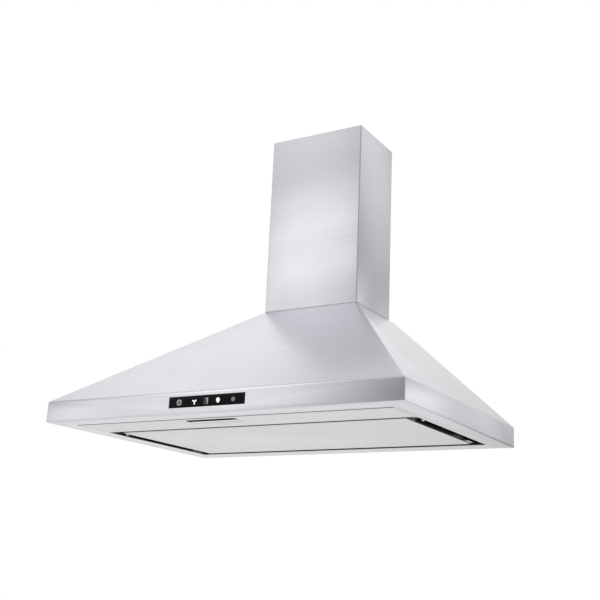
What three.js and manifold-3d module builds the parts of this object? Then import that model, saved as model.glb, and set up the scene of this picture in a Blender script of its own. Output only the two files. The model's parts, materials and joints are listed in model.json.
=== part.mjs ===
// Wall-hung chimney range hood with perimeter suction, built from its separate pieces.
// Millimetres. X runs across the hood, +Y towards the wall and +Z up. While it is built, the wall
// plane is y = 0 and the hood's lower rim is z = 0. The finished group is lowered at the end, so
// that its origin is on the wall plane at the height of the two hooks that carry the hood.
import * as THREE from 'three';
import { ConvexGeometry } from 'three/addons/geometries/ConvexGeometry.js';
import { mergeVertices } from 'three/addons/utils/BufferGeometryUtils.js';
import Module from 'manifold-3d';

const wasm = await Module();
wasm.setup();

// ---------------------------------------------------------------- driving dimensions

// Outer form.
const hoodWidth = 750;
const hoodDepth = 520;
const bandHeight = 40;
const slopeHeight = 240;
const chimneyWidth = 220;
const chimneyReach = 180;         // wall to the chimney's front face
const chimneyWallGap = 25;        // wall to the chimney's rear edges
const chimneyHeight = 394;
const hangHeight = 190;           // lower rim to the hooks in the wall

// Sheets and clearances.
const bodySheet = 1;
const innerSheet = 0.8;
const backSheet = 1.2;
const seatGap = 0.3;              // between pieces that rest on each other
const pinGap = 0.4;               // round a pin that something turns on
const slideGap = 0.6;             // between the two chimney covers

// Underside.
const sideFlange = 40;
const frontFlange = 42;
const frontStripDepth = 94;
const rearStripDepth = 50;
const lipReach = 12;              // how far a strip's lips lie on the flanges
const lipRiser = 3;               // width of the step that lifts a lip
const lipEndGap = 2;              // from a lip's end to what lies behind it
const trayHeight = 47;
const trayFlange = 14;

// Suction panel and its hinges and catches.
const panelSideGap = 26;
const panelFrontGap = 15;
const panelRearGap = 18;
const panelHeight = 12;
const hingeSetback = 14;          // panel's rear edge to the hinge axis
const hingeRise = 2;              // panel's upper edge to the hinge axis
const hingePinRadius = 2.5;
const hingeHeadRadius = 4;
const hingeHeadThickness = 2;
const hingeArmOffset = 6;         // panel's side wall to the arm
const hingeArmSheet = 2;
const hingeArmFoot = 2;           // lower rim to the arm's foot
const hingeLength = 32;           // the arm's and the bracket's length along the side
const hingeBracketHeight = 24;
const catchSetback = 45;          // opening's front edge to the middle of the catches
const catchLength = 14;
const catchSheet = 1.5;
const catchHeight = 9;            // upper face of the striker plate
const catchFoot = 3;              // lower rim to the striker plate's foot
const catchEndGap = 1;            // striker plate to the tray's wall
const magnetWidth = 13;
const magnetHeight = 13;

// Grease filters.
const filterWidth = 258;
const filterThickness = 9.4;
const filterSpacing = 4;
const filterSetback = 38;         // opening's front and rear edges to the filters
const filterEdge = 10;
const filterFrontEdge = 32;
const filterLip = 6;
const filterSheet = 0.8;
const railLedge = 8;
const railFlange = 14;
const railGap = 1;                // rails' webs to the filters and their latches
const railLedgeGap = 1.5;         // front rail's ledge to the filters
const latchWidth = 53;
const latchLength = 14;
const latchThickness = 3;
const latchTravel = 6;
const latchTongueWidth = 40;
const latchHandleWidth = 34;
const latchHandleDrop = 4;
const latchHandleLength = 4;
const latchHandleSetback = 3;     // latch's front edge to its handle
const latchFingerGap = 2;         // beside the handle in its slot
const latchLand = 1;              // frame's metal under the latch's front edge
const latchSpringRadius = 1.5;
const latchSpringLength = 8;
const latchSpringWaist = 0.9;     // radius between two turns

// Lamp and controls.
const lampWidth = 108;
const lampDepth = 37;
const lampCentre = -36;
const lampSetback = 58;           // hood's front to the lamp's front edge
const lensDepth = 20;
const lensThickness = 2.8;
const lensRim = 3;                // lens beyond the slot
const lampHousingHeight = 17;
const lampHousingRim = 6;         // housing beyond the slot
const lampRibHeight = 4;
const lampRibWidth = 5;
const lampBoardRim = 3;           // board beyond the slot's ends, and inside its long sides
const boardThickness = 1.6;
const glassWidth = 160.5;
const glassHeight = 19.4;
const glassThickness = 3;
const glassProud = 0.5;
const glassCentre = -2.2;
const glassBottom = 12.3;
const controlDepth = 19;
const controlHousingRim = 5;      // housing beyond the glass
const controlBoardRim = 2;        // board beyond the glass's ends
const controlBoardRise = 1;       // board above and below the glass
const plasticWall = 1.5;

// Blower.
const ductRadius = 71;            // bore of the way out, for a 150 mm duct
const ductCentre = -100;          // its place in depth
const outletHalf = 69;            // half the depth of the scroll's outlet
const scrollEndRadius = 118;
const cutoffRadius = 84;
const scrollHalfWidth = 76;
const scrollWall = 1.8;
const scrollSplit = 0.15;         // half the gap between the two halves
const scrollSteps = 26;           // sides of the spiral
const outletFlange = 16;
const outletFlangeSheet = 2;
const blowerHeight = 165;         // lower rim to the impeller's axis
const impellerRadius = 75;
const impellerHalfLength = 58;
const bladeCount = 30;
const bladeDepth = 14;
const bladeSheet = 1.2;
const bladeLean = 0.6;            // radians
const impellerRing = 3;
const impellerRingWidth = 4;
const impellerDisc = 2;
const hubRadius = 10;
const hubLength = 18;
const inletRadius = 60;
const inletFlangeWidth = 12;
const inletSheet = 1.5;
const inletThroatGap = 3;         // impeller's end to the ring's throat
const motorRadius = 42;
const motorLength = 108;
const motorSetback = 12;          // impeller's disc to the motor's face
const motorBossRadius = 15;
const motorBossLength = 4;
const motorShoulder = 8;          // motor's side to its flat ends
const motorStep = 2;              // how far the end bells lie inside the middle
const motorBellLength = 20;
const motorNoseLength = 5;
const shaftRadius = 4;
const shaftEngagement = 20;
const shaftEnd = 1;               // shaft beyond the hub
const bracketArmWidth = 12;
const bracketArmSheet = 4;
const bracketRingWidth = 5;
const bracketSetback = 8;         // motor's rear face to the bracket
const bracketReach = 86;          // impeller's axis to the middle of the feet
const grommetLength = 2.6;
const grommetInset = 0.5;         // grommet's side to the arm's side
const plateSheet = 1.5;
const plateEnd = 4;               // blower plate beyond the scroll's flanges
const plateRim = 5;               // blower plate beyond the duct's bore, front and rear

// Collar and damper.
const collarRadius = 74;
const collarWall = 2;
const collarHeight = 65;
const collarFlangeWidth = 3;
const collarFlangeSheet = 3;
const collarTabReach = 98;
const collarTabWidth = 24;
const damperHeight = 32;          // collar's foot to the flaps' axes
const damperSheet = 1.5;
const damperBarrelRadius = 2.2;
const damperPinRadius = 1.5;
const damperPinLength = 1.8;
const damperRadialGap = 1.5;
const damperOffset = 4.5;         // collar's centre line to each flap's axis
const damperBar = 3;
const damperBarRise = 4;          // flaps' axes to the bar's upper edge
const damperBarrelGap = 1;        // barrel's end to the flap's rim
const damperSeatWidth = 4;
const damperSeatSheet = 2.5;
const screwSetout = 90;
const screwRadius = 1.9;
const screwHeadRadius = 3.6;
const screwHeadHeight = 2.2;
const screwTip = 6;               // screw's length below the scroll's flange

// Chimney covers and their wall bracket.
const coverReturn = 10;
const upperCoverDrop = 4;         // how far the upper cover's top is below the lower one's
const ventCount = 6;
const ventLength = 60;
const ventWidth = 4;
const ventPitch = 11;
const ventDrop = 26;              // upper cover's top to the first vent
const wallBracketHeight = 20;
const wallBracketDrop = 110;
const wallBracketReach = 62;
const wallBracketSheet = 2;
const wallBracketGap = 2;         // bracket to the cover's rear returns

// Electrics.
const keyholeSpacing = 260;
const keyholeHeadRadius = 6;
const keyholeSlotRadius = 3;
const keyholeDrop = 12;
const mainsBoxWidth = 90;
const mainsBoxDepth = 43;
const mainsBoxHeight = 70;
const mainsBoxCentre = -170;
const mainsBoxBottom = 62;
const lidThickness = 2;
const glandRadius = 6;
const glandNutRadius = 9;
const glandBore = 3.5;
const glandThread = 8;            // thread below the box's roof
const glandNutHeight = 7;
const glandCapRadius = 7;
const glandCapHeight = 6;
const capacitorRadius = 17;
const capacitorHeight = 65;
const capacitorCentre = 160;
const capacitorBottom = 95;
const capacitorEdge = 2;
const capacitorCrimp = 4;
const capacitorShoulder = 3;
const clipHeight = 15;
const clipSheet = 2;
const clipEar = 7;
const clipStandoff = 0.5;
const harnessRadius = 2.4;
const harnessLift = 1;            // lead above the tray
const leadEntry = 20;             // mains box's edge to where a lead goes in

// ---------------------------------------------------------------- places worked out from them

const rimHalf = hoodWidth / 2;
const chimneyHalf = chimneyWidth / 2;
const canopyTop = bandHeight + slopeHeight;
const sideLean = (rimHalf - chimneyHalf) / slopeHeight;
const frontLean = (hoodDepth - chimneyReach) / slopeHeight;
const openEnd = 5;                // how far a cutter runs past what it cuts
const drillEnd = 1;               // the same through a thin sheet with something close behind
const overlap = 1;                // how deep joined solids reach into each other
const sideHalf = (z) => rimHalf - (z - bandHeight) * sideLean;
const frontAt = (z) => -hoodDepth + (z - bandHeight) * frontLean;

const undersideHalf = rimHalf - sideFlange;
const stripFront = -hoodDepth + frontFlange + seatGap;
const openFront = -hoodDepth + frontFlange + frontStripDepth;
const openRear = -rearStripDepth;
const upperSeat = bodySheet + seatGap;              // where something rests on the flanges
const trayInner = undersideHalf + seatGap;
const trayCeiling = trayHeight - innerSheet;
const trayFlangeFront = openFront - seatGap - innerSheet - trayFlange;
const trayFlangeRear = openRear + seatGap + innerSheet + trayFlange;

const panelHalf = undersideHalf - panelSideGap;
const panelFront = openFront + panelFrontGap;
const panelRear = openRear - panelRearGap;
const hingeY = panelRear - hingeSetback;
const hingeZ = panelHeight + hingeRise;
const armInner = panelHalf + hingeArmOffset;
const catchY = openFront + catchSetback;

const filterTop = trayCeiling - seatGap;
const filterBottom = filterTop - filterThickness;
const filterRear = openRear - filterSetback;
const filterFront = openFront + filterSetback;
const filterReach = filterSpacing / 2 + filterWidth;
const latchBottom = filterBottom + filterSheet + seatGap;
const latchFront = filterFront + filterSheet + seatGap;
const latchRear = latchFront + latchLength;
const latchRecessRear = latchRear + latchSpringLength;

const lampFront = -hoodDepth + lampSetback;
const lampRear = lampFront + lampDepth;
const glassFace = -hoodDepth - glassProud;
const controlBack = -hoodDepth + bodySheet + controlDepth;

const plateTop = canopyTop - bodySheet - seatGap;
const scrollTop = plateTop - plateSheet - seatGap;
const blowerY = ductCentre + outletHalf - scrollEndRadius;
const motorFace = -(impellerDisc / 2 + motorSetback);

const collarFoot = canopyTop + seatGap;
const damperZ = collarFoot + damperHeight;
const damperRadius = collarRadius - collarWall - damperRadialGap;
const chimneyFoot = canopyTop + seatGap;
const upperCoverHalf = chimneyHalf - bodySheet - slideGap;
const upperCoverTop = chimneyFoot + chimneyHeight - upperCoverDrop;
const wallBracketTop = upperCoverTop - wallBracketDrop;
const panelBack = -backSheet - seatGap;             // where something rests on the back panel

// ---------------------------------------------------------------- solids

// A closed mesh as a solid that can be joined and cut.
function solid(geometry) {
  geometry.deleteAttribute('normal');
  geometry.deleteAttribute('uv');
  const merged = mergeVertices(geometry, 1e-4);
  return new wasm.Manifold(new wasm.Mesh({
    numProp: 3,
    vertProperties: new Float32Array(merged.attributes.position.array),
    triVerts: new Uint32Array(merged.index.array),
  }));
}

function block(x, y, z) {
  const low = [Math.min(...x), Math.min(...y), Math.min(...z)];
  const high = [Math.max(...x), Math.max(...y), Math.max(...z)];
  const geometry = new THREE.BoxGeometry(high[0] - low[0], high[1] - low[1], high[2] - low[2]);
  geometry.translate((low[0] + high[0]) / 2, (low[1] + high[1]) / 2, (low[2] + high[2]) / 2);
  return solid(geometry);
}

// The three directions that an outline's u and v and its depth run in, for each axis.
const alongX = [[0, 1, 0], [0, 0, 1], [1, 0, 0]];
const alongY = [[1, 0, 0], [0, 0, 1], [0, -1, 0]];
const alongZ = [[1, 0, 0], [0, 1, 0], [0, 0, 1]];

function turnTo(geometry, axis, from, to) {
  const [u, v, depth] = axis.map((direction) => new THREE.Vector3(...direction));
  geometry.applyMatrix4(new THREE.Matrix4().makeBasis(u, v, depth));
  const start = axis === alongY ? -to : from;
  geometry.translate(depth.x * start, depth.y * start, depth.z * start);
  return geometry;
}

// An outline of [u, v] points drawn out between two places on an axis.
function prism(points, axis, from, to) {
  const shape = new THREE.Shape(points.map(([u, v]) => new THREE.Vector2(u, v)));
  const geometry = new THREE.ExtrudeGeometry(shape, { depth: to - from, bevelEnabled: false });
  return solid(turnTo(geometry, axis, from, to));
}

function circle(u, v, radius, sides) {
  const points = [];
  for (let i = 0; i < sides; i += 1) {
    const angle = ((i + 0.5) / sides) * 2 * Math.PI;
    points.push([u + radius * Math.cos(angle), v + radius * Math.sin(angle)]);
  }
  return points;
}

function rod(u, v, radius, axis, from, to, sides = 16) {
  return prism(circle(u, v, radius, sides), axis, Math.min(from, to), Math.max(from, to));
}

// A turned piece: [radius, height] points from its lower end to its upper one, along X or Z.
function turned(points, sides, axis, u, v) {
  const profile = points.map(([radius, height]) => new THREE.Vector2(radius, height));
  const geometry = new THREE.LatheGeometry(profile, sides);
  geometry.rotateX(Math.PI / 2);
  const body = solid(turnTo(geometry, axis, 0, 0));
  return axis === alongX ? body.translate([0, u, v]) : body.translate([u, v, 0]);
}

// A round lead along a route of [x, y, z] points.
function lead(route, radius, steps) {
  const path = new THREE.CatmullRomCurve3(route.map((point) => new THREE.Vector3(...point)));
  const section = new THREE.Shape(circle(0, 0, radius, 8).map(([u, v]) => new THREE.Vector2(u, v)));
  return solid(new THREE.ExtrudeGeometry(section, { steps, extrudePath: path }));
}

const wide = [-hoodWidth, hoodWidth];
const both = (reach) => [-reach, reach];
const onSide = (side, near, far) => [side * near, side * far];

// The hood's form, drawn in by a thickness on its band and its three slopes.
function hoodForm(inset, bottom, top, rear) {
  const corners = [];
  for (const z of [bottom, top]) {
    const half = sideHalf(z) - inset * Math.hypot(1, sideLean);
    const front = frontAt(z) + inset * Math.hypot(1, frontLean);
    corners.push([-half, front, z], [half, front, z], [half, rear, z], [-half, rear, z]);
  }
  const slopes = solid(new ConvexGeometry(corners.map((corner) => new THREE.Vector3(...corner))));
  const band = block(both(rimHalf - inset), [-hoodDepth + inset, rear], [bottom, top]);
  return slopes.intersect(band);
}

// ---------------------------------------------------------------- materials

function finish(color, roughness, metalness) {
  return new THREE.MeshStandardMaterial({ color, roughness, metalness });
}

const brushedSteel = () => finish(0xc9cacc, 0.34, 1);
const panelSteel = () => finish(0xcac6c4, 0.42, 1);
const galvanisedSteel = () => finish(0xa9adb0, 0.5, 1);
const zincPlate = () => finish(0xb9bdc2, 0.35, 1);
const filterAluminium = () => finish(0xb4b7ba, 0.4, 1);
const greyPlastic = () => finish(0x8b8e91, 0.6, 0);
const blackPlastic = () => finish(0x1d1e20, 0.55, 0);
const blackGlass = () => finish(0x0b0c0e, 0.08, 0);
const greenBoard = () => finish(0x2c5a3c, 0.5, 0);
const blackEnamel = () => finish(0x1b1c1e, 0.4, 0);
const blackRubber = () => finish(0x151515, 0.85, 0);
const frostedLens = () => finish(0xe6e7e4, 0.35, 0);

const hood = new THREE.Group();

function add(name, body, material) {
  const { vertProperties, triVerts } = body.getMesh();
  const geometry = new THREE.BufferGeometry();
  geometry.setAttribute('position', new THREE.BufferAttribute(vertProperties, 3));
  geometry.setIndex(new THREE.BufferAttribute(triVerts, 1));
  geometry.computeVertexNormals();
  const mesh = new THREE.Mesh(geometry, material);
  mesh.name = name;
  hood.add(mesh);
}

// ---------------------------------------------------------------- body

function ductHole(from, to) {
  return rod(0, ductCentre, ductRadius, alongZ, from, to, 48);
}

function collarScrewHoles(body, from, to) {
  let drilled = body;
  for (const side of [-1, 1]) {
    const hole = rod(side * screwSetout, ductCentre, screwRadius + seatGap, alongZ, from, to, 12);
    drilled = drilled.subtract(hole);
  }
  return drilled;
}

function canopyShell() {
  const hollow = hoodForm(bodySheet, bodySheet, canopyTop - bodySheet, openEnd);
  const underside = block(
    both(undersideHalf),
    [-hoodDepth + frontFlange, openEnd],
    [-openEnd, bodySheet + seatGap],
  );
  const glassCut = block(
    [glassCentre - glassWidth / 2 - seatGap, glassCentre + glassWidth / 2 + seatGap],
    [-hoodDepth - openEnd, -hoodDepth + bodySheet + seatGap],
    [glassBottom - seatGap, glassBottom + glassHeight + seatGap],
  );
  const shell = hoodForm(0, 0, canopyTop, 0)
    .subtract(hollow)
    .subtract(underside)
    .subtract(glassCut)
    .subtract(ductHole(canopyTop - bodySheet - openEnd, canopyTop + openEnd));
  return collarScrewHoles(shell, canopyTop - bodySheet - openEnd, canopyTop + openEnd);
}

function backPanel() {
  const inset = bodySheet + seatGap;
  let panel = hoodForm(inset, inset, canopyTop - inset, 0);
  panel = panel.intersect(block(wide, [-backSheet, 0], [0, canopyTop]));
  for (const side of [-1, 1]) {
    const x = (side * keyholeSpacing) / 2;
    const slotTop = hangHeight - keyholeSlotRadius;
    const slot = block(
      [x - keyholeSlotRadius, x + keyholeSlotRadius],
      [-backSheet - openEnd, openEnd],
      [hangHeight - keyholeDrop, slotTop],
    );
    const depth = [-backSheet - openEnd, openEnd];
    const head = rod(x, hangHeight - keyholeDrop, keyholeHeadRadius, alongY, ...depth, 20);
    panel = panel.subtract(slot).subtract(head);
    panel = panel.subtract(rod(x, slotTop, keyholeSlotRadius, alongY, ...depth, 16));
  }
  return panel;
}

function innerTray() {
  const half = trayInner + innerSheet;
  const front = openFront - seatGap - innerSheet;
  const rear = openRear + seatGap + innerSheet;
  const rim = [upperSeat, upperSeat + innerSheet];
  const inside = block(
    both(trayInner),
    [front + innerSheet, rear - innerSheet],
    [upperSeat - openEnd, trayCeiling],
  );
  let tray = block(both(half), [front, rear], [upperSeat, trayHeight]);
  tray = tray.add(block(both(half + trayFlange), [trayFlangeFront, trayFlangeRear], rim));
  tray = tray.subtract(inside);
  for (const side of [-1, 1]) {
    tray = tray.subtract(block(
      onSide(side, filterSpacing / 2 + filterLip, filterReach - filterLip),
      [filterFront + filterFrontEdge, filterRear - filterLip],
      [trayCeiling - openEnd, trayHeight + openEnd],
    ));
  }
  return tray;
}

// A strip that fills the underside in front of or behind the suction panel. Its raised lips lie
// on the canopy's flanges.
function underStrip(front, rear, lipFront, lipRear, hasFrontLip) {
  const half = undersideHalf - seatGap;
  const lip = [upperSeat, upperSeat + bodySheet];
  let strip = block(both(half), [front, rear], [0, bodySheet]);
  for (const side of [-1, 1]) {
    const step = half - lipRiser;
    strip = strip.add(block(onSide(side, step, half), [lipFront, lipRear], [0, lip[1]]));
    strip = strip.add(block(onSide(side, step, half + lipReach), [lipFront, lipRear], lip));
  }
  if (hasFrontLip) {
    const reach = half - 2 * lipReach;
    strip = strip.add(block(both(reach), [front, front + lipRiser], [0, lip[1]]));
    strip = strip.add(block(both(reach), [front - lipReach, front + lipRiser], lip));
  }
  return strip;
}

function frontStrip() {
  const lampSlot = block(
    [lampCentre - lampWidth / 2, lampCentre + lampWidth / 2],
    [lampFront, lampRear],
    [-openEnd, bodySheet + openEnd],
  );
  const lipRear = trayFlangeFront - lipEndGap;
  return underStrip(stripFront, openFront, stripFront, lipRear, true).subtract(lampSlot);
}

function rearStrip() {
  const lips = [trayFlangeRear + lipEndGap, panelBack - lipEndGap];
  return underStrip(openRear, panelBack, ...lips, false);
}

add('canopy_shell', canopyShell(), brushedSteel());
add('back_panel', backPanel(), galvanisedSteel());
add('inner_tray', innerTray(), blackEnamel());
add('front_strip', frontStrip(), brushedSteel());
add('rear_strip', rearStrip(), brushedSteel());

// ---------------------------------------------------------------- suction panel

function perimeterPanel() {
  const pan = block(both(panelHalf), [panelFront, panelRear], [0, panelHeight]);
  return pan.subtract(block(
    both(panelHalf - bodySheet),
    [panelFront + bodySheet, panelRear - bodySheet],
    [bodySheet, panelHeight + openEnd],
  ));
}

function panelBacking() {
  const inset = bodySheet + seatGap;
  const top = panelHeight - bodySheet;
  return block(
    both(panelHalf - inset),
    [panelFront + inset, panelRear - inset],
    [top - innerSheet, top],
  );
}

// The arm is a channel on the panel's side wall, with an eye for the pin in its outer cheek.
function hingeArm(side) {
  const length = [hingeY - hingeLength / 2, hingeY + hingeLength / 3];
  const foot = panelHalf + seatGap;
  const outer = armInner + hingeArmSheet;
  const low = hingeArmFoot;
  const eye = hingePinRadius + pinGap;
  const drilled = [side * (armInner - drillEnd), side * (outer + drillEnd)];
  return block(onSide(side, foot, foot + hingeArmSheet), length, [low, panelHeight])
    .add(block(onSide(side, foot, outer), length, [low, low + hingeArmSheet]))
    .add(block(onSide(side, armInner, outer), length, [low, hingeZ + 2 * hingePinRadius]))
    .subtract(rod(hingeY, hingeZ, eye, alongX, ...drilled));
}

function hingePin(side) {
  const face = armInner - seatGap;
  const head = [side * face, side * (face - hingeHeadThickness)];
  const end = side * (trayInner - 2 * seatGap);
  return rod(hingeY, hingeZ, hingePinRadius, alongX, side * (armInner - overlap), end)
    .add(rod(hingeY, hingeZ, hingeHeadRadius, alongX, ...head));
}

function hingeBracket(side) {
  const outer = trayInner - seatGap;
  const inner = outer - hingeArmSheet;
  const length = [hingeY - hingeLength / 2, hingeY + hingeLength / 2];
  const bore = hingePinRadius + seatGap;
  const foot = 2 * upperSeat;
  const drilled = [side * (inner - drillEnd), side * (outer + drillEnd)];
  return block(onSide(side, inner, outer), length, [foot, foot + hingeBracketHeight])
    .subtract(rod(hingeY, hingeZ, bore, alongX, ...drilled));
}

function catchPlate(side) {
  const foot = panelHalf + seatGap;
  const length = [catchY - catchLength / 2, catchY + catchLength / 2];
  const end = trayInner - catchEndGap;
  return block(onSide(side, foot, foot + catchSheet), length, [catchFoot, catchHeight])
    .add(block(onSide(side, foot, end), length, [catchHeight - catchSheet, catchHeight]));
}

function catchMagnet(side) {
  const outer = trayInner - seatGap;
  const low = catchHeight + seatGap;
  return block(
    onSide(side, outer - magnetWidth, outer),
    [catchY - catchLength / 2, catchY + catchLength / 2],
    [low, low + magnetHeight],
  );
}

add('perimeter_panel', perimeterPanel(), panelSteel());
add('panel_backing', panelBacking(), galvanisedSteel());
for (const [label, side] of [['left', -1], ['right', 1]]) {
  add(`hinge_arm_${label}`, hingeArm(side), zincPlate());
  add(`hinge_pin_${label}`, hingePin(side), zincPlate());
  add(`hinge_bracket_${label}`, hingeBracket(side), zincPlate());
  add(`catch_plate_${label}`, catchPlate(side), zincPlate());
  add(`catch_magnet_${label}`, catchMagnet(side), zincPlate());
}

// ---------------------------------------------------------------- grease filters

const filterMiddle = filterSpacing / 2 + filterWidth / 2;

function filterRail(webFace, direction, ledgeEdge, ledgeTop) {
  const web = [webFace, webFace + direction * innerSheet];
  const flangeEdge = webFace + direction * railFlange;
  return block(both(filterReach), web, [ledgeTop - innerSheet, filterTop])
    .add(block(both(filterReach), [ledgeEdge, web[1]], [ledgeTop - innerSheet, ledgeTop]))
    .add(block(both(filterReach), [web[0], flangeEdge], [filterTop - innerSheet, filterTop]));
}

function filterRearRail() {
  const ledgeTop = filterBottom - seatGap;
  return filterRail(filterRear + railGap, 1, filterRear - railLedge, ledgeTop);
}

function filterFrontRail() {
  const ledgeTop = latchBottom - seatGap;
  const webFace = filterFront - latchTravel - railGap;
  return filterRail(webFace, -1, filterFront - railLedgeGap, ledgeTop);
}

function meshPocket(gap) {
  return [
    both(filterWidth / 2 - filterEdge + filterLip - gap),
    [filterFront + filterFrontEdge - filterLip + gap, filterRear - filterEdge + filterLip - gap],
    [filterBottom + filterSheet + gap, filterTop - filterSheet - gap],
  ];
}

function latchRecess() {
  const half = latchWidth / 2 + seatGap;
  const top = latchBottom + latchThickness + seatGap;
  const tongueHalf = latchTongueWidth / 2 + seatGap;
  const fingerHalf = latchHandleWidth / 2 + latchFingerGap;
  const rise = [latchBottom - seatGap, top];
  return block(both(half), [latchFront - seatGap, latchRecessRear], rise)
    .add(block(both(tongueHalf), [filterFront - openEnd, latchRecessRear], rise))
    .add(block(
      both(fingerHalf),
      [latchFront + latchLand, latchRecessRear],
      [filterBottom - openEnd, top],
    ));
}

function filterFrame() {
  const window = block(
    both(filterWidth / 2 - filterEdge),
    [filterFront + filterFrontEdge, filterRear - filterEdge],
    [filterBottom - openEnd, filterTop + openEnd],
  );
  return block(both(filterWidth / 2), [filterFront, filterRear], [filterBottom, filterTop])
    .subtract(block(...meshPocket(0)))
    .subtract(window)
    .subtract(latchRecess());
}

function filterLatch() {
  const depth = [latchBottom, latchBottom + latchThickness];
  const handleFront = latchFront + latchHandleSetback;
  return block(both(latchWidth / 2), [latchFront, latchRear], depth)
    .add(block(both(latchTongueWidth / 2), [filterFront - latchTravel, latchRear], depth))
    .add(block(
      both(latchHandleWidth / 2),
      [handleFront, handleFront + latchHandleLength],
      [filterBottom - latchHandleDrop, latchBottom + overlap],
    ));
}

// The spring lies between the latch and the end of its recess, as a row of turned rings.
function latchSpring() {
  const coils = 4;
  const length = latchSpringLength - 2 * seatGap;
  const points = [[0, 0]];
  for (let i = 0; i < coils; i += 1) {
    const start = i === 0 ? 0 : i + 0.25;
    points.push([latchSpringRadius, (start * length) / coils]);
    points.push([latchSpringRadius, ((i + 0.5) * length) / coils]);
    points.push([latchSpringWaist, ((i + 0.75) * length) / coils]);
  }
  points.push([latchSpringRadius, length], [0, length]);
  const profile = points.map(([radius, height]) => new THREE.Vector2(radius, height));
  const geometry = new THREE.LatheGeometry(profile, 8);
  geometry.translate(0, latchRear + seatGap, latchBottom + latchThickness / 2);
  return solid(geometry);
}

add('filter_front_rail', filterFrontRail(), blackEnamel());
add('filter_rear_rail', filterRearRail(), blackEnamel());
for (const [label, side] of [['left', -1], ['right', 1]]) {
  const place = [side * filterMiddle, 0, 0];
  add(`filter_frame_${label}`, filterFrame().translate(place), filterAluminium());
  add(`filter_mesh_${label}`, block(...meshPocket(seatGap)).translate(place), filterAluminium());
  add(`filter_latch_${label}`, filterLatch().translate(place), blackPlastic());
  add(`latch_spring_${label}`, latchSpring().translate(place), zincPlate());
}

// ---------------------------------------------------------------- lamp and controls

const lampHalf = lampWidth / 2;
const lampSpan = (extra) => [lampCentre - lampHalf - extra, lampCentre + lampHalf + extra];
const lampHousingTop = upperSeat + lampHousingHeight;
const lampRibFoot = lampHousingTop - plasticWall - lampRibHeight;

function lampLens() {
  const front = lampRear - seatGap - lensDepth;
  return block(lampSpan(-seatGap), [front, lampRear - seatGap], [0, lensThickness])
    .add(block(lampSpan(lensRim), [front, lampRear + lensRim], [upperSeat, lensThickness]));
}

function lampHousing() {
  const rim = lampHousingRim;
  const inside = rim - plasticWall;
  const top = lampHousingTop;
  const ribTop = top - plasticWall / 3;
  let housing = block(lampSpan(rim), [lampFront - rim, lampRear + rim], [upperSeat, top]);
  housing = housing.subtract(block(
    lampSpan(inside),
    [lampFront - inside, lampRear + inside],
    [upperSeat - openEnd, top - plasticWall],
  ));
  for (const x of lampSpan(inside)) {
    const inward = x > lampCentre ? x - lampRibWidth : x + lampRibWidth;
    housing = housing.add(block([x, inward], [lampFront, lampRear], [lampRibFoot, ribTop]));
  }
  return housing;
}

function lampBoard() {
  const top = lampRibFoot - seatGap;
  return block(
    lampSpan(lampBoardRim),
    [lampFront + lampBoardRim, lampRear - lampBoardRim],
    [top - boardThickness, top],
  );
}

const glassHalf = glassWidth / 2;
const glassSpan = (extra) => [glassCentre - glassHalf - extra, glassCentre + glassHalf + extra];
const glassRise = (extra) => [glassBottom - extra, glassBottom + glassHeight + extra];

function controlHousing() {
  const rim = controlHousingRim;
  const inside = rim - plasticWall;
  const front = -hoodDepth + bodySheet + seatGap;
  const room = [front - openEnd, controlBack - plasticWall];
  return block(glassSpan(rim), [front, controlBack], glassRise(rim))
    .subtract(block(glassSpan(inside), room, glassRise(inside)));
}

function controlBoard() {
  const front = glassFace + glassThickness + seatGap;
  const depth = [front, front + boardThickness];
  return block(glassSpan(controlBoardRim), depth, glassRise(controlBoardRise));
}

const glassBody = block(glassSpan(0), [glassFace, glassFace + glassThickness], glassRise(0));

add('lamp_lens', lampLens(), frostedLens());
add('lamp_board', lampBoard(), greenBoard());
add('lamp_housing', lampHousing(), blackPlastic());
add('control_glass', glassBody, blackGlass());
add('control_board', controlBoard(), greenBoard());
add('control_housing', controlHousing(), blackPlastic());

// ---------------------------------------------------------------- blower

// The scroll's outline in [y, z]: down the outlet's front, round the spiral and up its rear.
function scrollOutline(offset, top) {
  const front = ductCentre - outletHalf - offset;
  const near = cutoffRadius + offset;
  const far = scrollEndRadius + offset;
  const start = Math.acos((front - blowerY) / near);
  const points = [[front, top]];
  for (let i = 0; i <= scrollSteps; i += 1) {
    const turn = i / scrollSteps;
    const angle = start + turn * (2 * Math.PI - start);
    const radius = near + turn * (far - near);
    points.push([blowerY + radius * Math.cos(angle), blowerHeight + radius * Math.sin(angle)]);
  }
  points.push([blowerY + far, top]);
  return points;
}

function scrollHalf(side) {
  const outer = [side * scrollSplit, side * scrollHalfWidth].sort((a, b) => a - b);
  const inner = [-side * openEnd, side * (scrollHalfWidth - scrollWall)].sort((a, b) => a - b);
  const inlet = inletRadius + inletSheet + 2 * seatGap;
  const inletEnd = side * (scrollHalfWidth + openEnd);
  const flange = block(
    onSide(side, scrollSplit, scrollHalfWidth + outletFlange),
    [ductCentre - outletHalf - scrollWall, ductCentre + outletHalf + scrollWall],
    [scrollTop - outletFlangeSheet, scrollTop],
  );
  return collarScrewHoles(
    prism(scrollOutline(scrollWall, scrollTop), alongX, ...outer)
      .add(flange)
      .subtract(prism(scrollOutline(0, scrollTop + openEnd), alongX, ...inner))
      .subtract(rod(blowerY, blowerHeight, inlet, alongX, 0, inletEnd, 36)),
    scrollTop - openEnd,
    scrollTop + openEnd,
  );
}

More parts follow.
